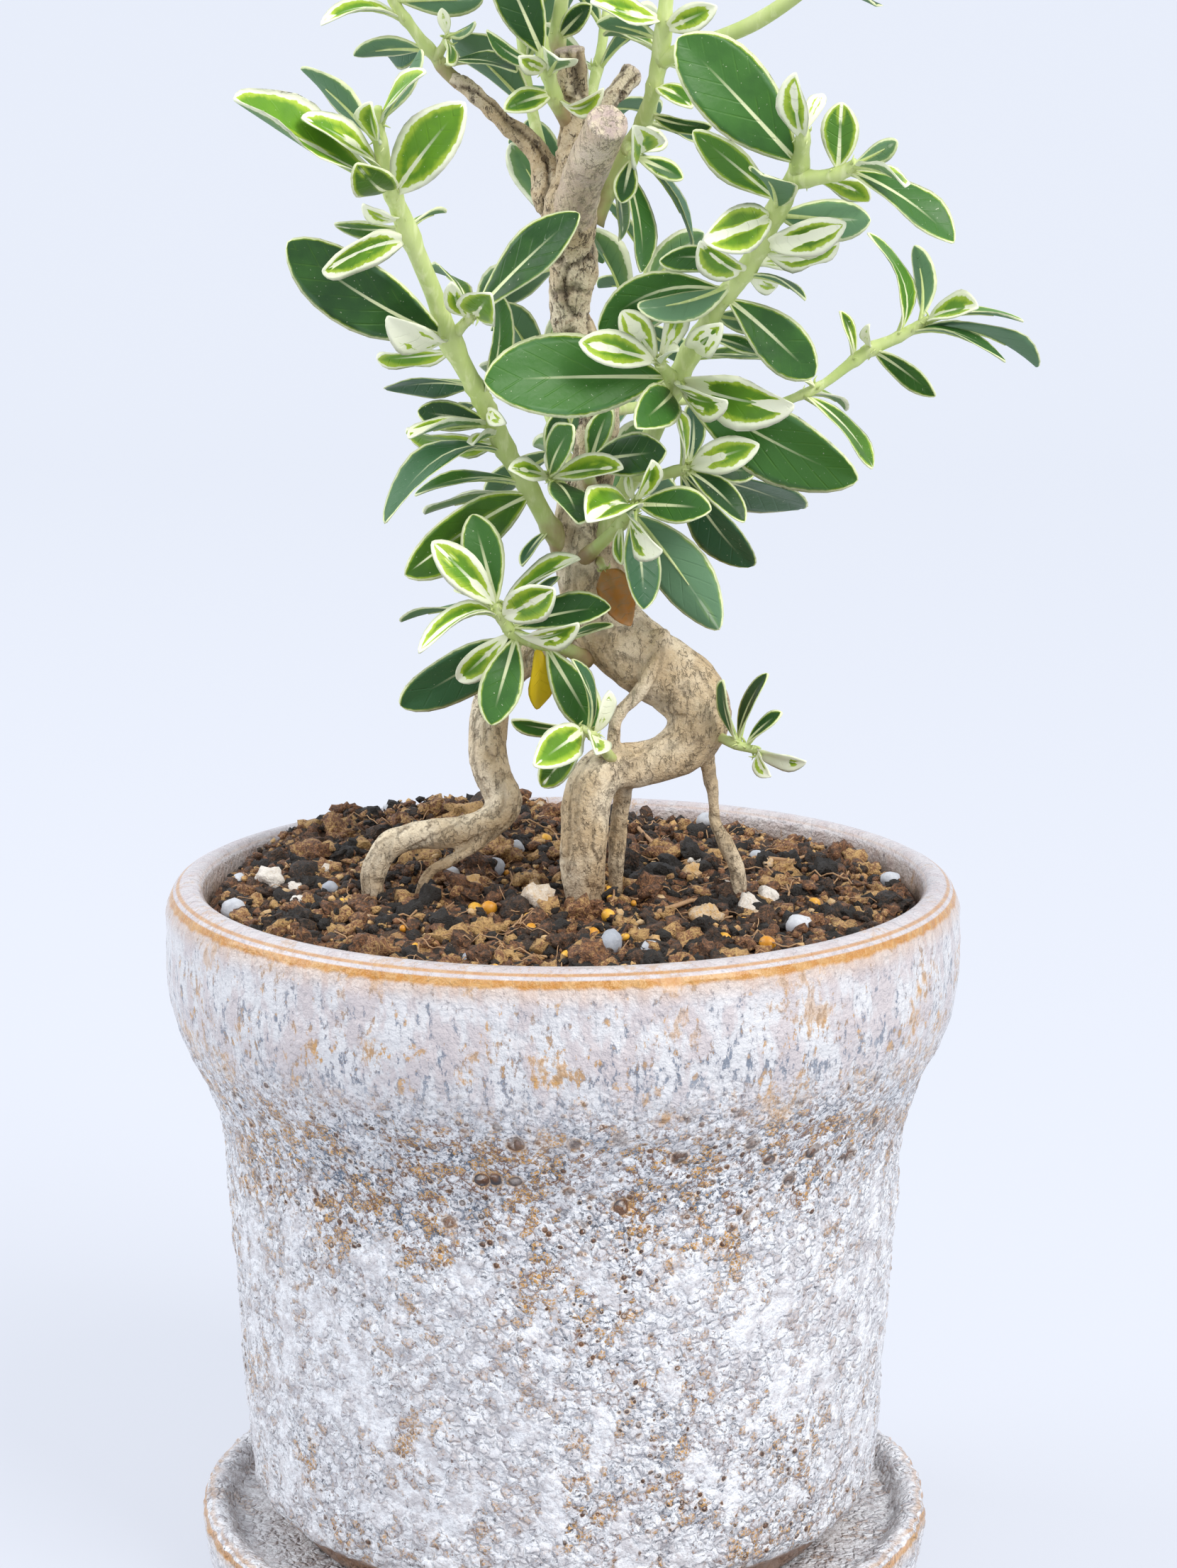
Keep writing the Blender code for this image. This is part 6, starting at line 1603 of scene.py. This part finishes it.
# Beads, grit and feed prills that the photo shows, across and down in its window, and their radius
BEADS = (
    (77.8, 120.2, 1.7), (83.0, 121.0, 1.3), (101.8, 118.0, 1.6), (63.0, 110.5, 1.4),
    (65.8, 108.0, 1.1), (57.5, 111.5, 1.2), (29.8, 116.0, 1.6),
)
GRIT = (
    (90.0, 117.2, 2.4), (95.6, 115.6, 1.9), (98.0, 114.5, 1.6), (68.5, 114.5, 2.3),
    (34.5, 112.0, 1.8), (54.6, 113.8, 0.8), (60.5, 112.6, 1.6), (37.5, 113.4, 1.1),
    (88.0, 111.2, 1.5), (41.6, 110.8, 1.2), (81.0, 119.0, 0.8), (92.8, 113.2, 1.1),
)
PRILLS = (
    (75.5, 119.3, 1.15), (77.5, 116.7, 0.95), (62.3, 115.8, 1.1), (60.5, 115.8, 0.9),
    (67.8, 118.5, 0.95), (92.2, 119.8, 1.0), (97.8, 120.3, 1.1), (82.5, 119.0, 0.8),
    (43.8, 115.2, 0.8), (85.8, 118.6, 0.7), (70.2, 119.2, 0.8), (94.6, 117.6, 0.8),
    (103.8, 115.2, 0.9), (58.5, 112.2, 0.8), (104.0, 117.0, 0.8),
)


# A sight line's place on the soil is sought over this depth either way, halving it so often
SOIL_SPAN = 46.0
HALVINGS = 24
READ_SINK = 0.35


def on_soil(across, down, lift):
    """Return the place on the soil that shows at this place of the window."""
    low, high = -SOIL_SPAN, SOIL_SPAN
    for _ in range(HALVINGS):
        depth = (low + high) / 2
        place = sighted(across, down, depth)
        if place.z > ground(place.x, place.y) + lift:
            low = depth
        else:
            high = depth
    return place


def read_spots(rows, seed, flat):
    """Lay grains where the photo shows them."""
    draws = random.Random(seed)
    spots = []
    for across, down, size in rows:
        axis = (draws.uniform(-1, 1), draws.uniform(-1, 1), 1.0)
        turn = Quaternion(axis, draws.uniform(0.0, math.tau))
        place = on_soil(across, down, size * READ_SINK)
        spots.append((place, size, draws.uniform(*flat), turn, draws.random()))
    return spots


def make_soil_grains():
    """Strew crumbs, grit, beads and feed prills over the soil."""
    dark = grain_paint("soil_crumb", CRUMB_STOPS, 0.5, 0.9)
    tan = grain_paint("soil_grit", TAN_STOPS, 0.6, 0.3)
    scatter("soil_crumbs_small", dark, strewn(3400, (0.30, 0.85), 0.2, 21), 1, 0.6)
    scatter("soil_crumbs_middle", dark, strewn(1100, (0.7, 1.5), 0.15, 22, (0.5, 0.9)), 2, 0.9)
    scatter("soil_crumbs_large", dark, strewn(170, (1.4, 2.5), 0.1, 30, (0.5, 0.8)), 3, 1.0)
    scatter("soil_grit_tan", tan, strewn(900, (0.2, 0.75), 0.6, 23), 1, 0.5)
    pale = grain_paint("pale_grit", PALE_STOPS, 0.6, 0.4)
    spots = read_spots(GRIT, 24, (0.65, 0.85)) + strewn(14, (0.7, 1.5), 0.3, 25)
    scatter("pale_grit", pale, spots, 3, 0.45)
    bead = grain_paint("grey_bead", BEAD_STOPS, 0.4, 0.08)
    spots = read_spots(BEADS, 26, (0.85, 0.95)) + strewn(8, (1.0, 1.5), 0.4, 27)
    scatter("grey_beads", bead, spots, 3, 0.14)
    prill = grain_paint("feed_prill", PRILL_STOPS, 0.3, 0.04)
    spots = read_spots(PRILLS, 28, (0.9, 1.0)) + strewn(40, (0.5, 0.95), 0.5, 29)
    scatter("feed_prills", prill, spots, 2, 0.10)


FIBRES = 150
FIBRE_SEED = 31
FIBRE_SIDES = 6
FIBRE_START = 41.0
FIBRE_REACH = 43.0
FIBRE_STEP = 0.9

# Fine roots that the photo shows on the soil, across and down in its window, and their radius
FINE_ROOTS = (
    ((80.2, 104.4, 0.30), (81.4, 105.6, 0.28), (83.0, 107.2, 0.25), (84.4, 109.2, 0.22),
     (85.2, 111.4, 0.20)),
    ((94.8, 110.3, 0.30), (98.0, 109.4, 0.30), (101.0, 109.7, 0.26), (103.6, 108.8, 0.24),
     (106.0, 110.2, 0.20)),
    ((84.0, 116.2, 0.35), (88.0, 114.8, 0.30), (92.0, 114.6, 0.28)),
)


def make_fibres():
    """Lay thin roots and bark fibres loosely on the soil."""
    draws = random.Random(FIBRE_SEED)
    ways = []
    for _ in range(FIBRES):
        away, angle = FIBRE_START * math.sqrt(draws.random()), draws.uniform(0.0, math.tau)
        x, y = away * math.cos(angle), away * math.sin(angle)
        heading, bend = draws.uniform(0.0, math.tau), draws.uniform(-0.3, 0.3)
        radius = 0.04 + 0.1 * draws.random() ** 2
        way = []
        for _ in range(draws.randint(3, 9)):
            way.append((Vector((x, y, ground(x, y) + 0.5 + draws.uniform(0.0, 0.8))), radius))
            x += FIBRE_STEP * math.cos(heading)
            y += FIBRE_STEP * math.sin(heading)
            heading += bend + draws.uniform(-0.15, 0.15)
            if math.hypot(x, y) > FIBRE_REACH:
                break
        if len(way) > 2:
            ways.append(way)
    for row in FINE_ROOTS:
        ways.append([(on_soil(across, down, 0.6), radius) for across, down, radius in row])
    bm = tubes(ways, FIBRE_SIDES)
    fibre = grain_paint("fibre", FIBRE_STOPS, 0.7, 0.05)
    piece_from(bm, "soil_fibres", fibre, (), {"tone": [0.5] * len(bm.verts)})


def main():
    """Dress every piece of the bonsai."""
    make_camera()
    make_studio()
    make_saucer()
    make_pot()
    make_soil()
    make_soil_grains()
    make_fibres()
    crowd = Crowd()
    for way, sides in woody_ways():
        crowd.add("trunk", tubes([swollen(way, GAP)], sides))
    sprays = foliage(crowd)
    make_trunk()
    leaf_finish, stem_finish = leaf_paint(), stem_paint()
    for name, (_, leaves) in sprays.items():
        make_spray(name, leaves, leaf_finish, stem_finish)


main()
bpy.context.view_layer.update()
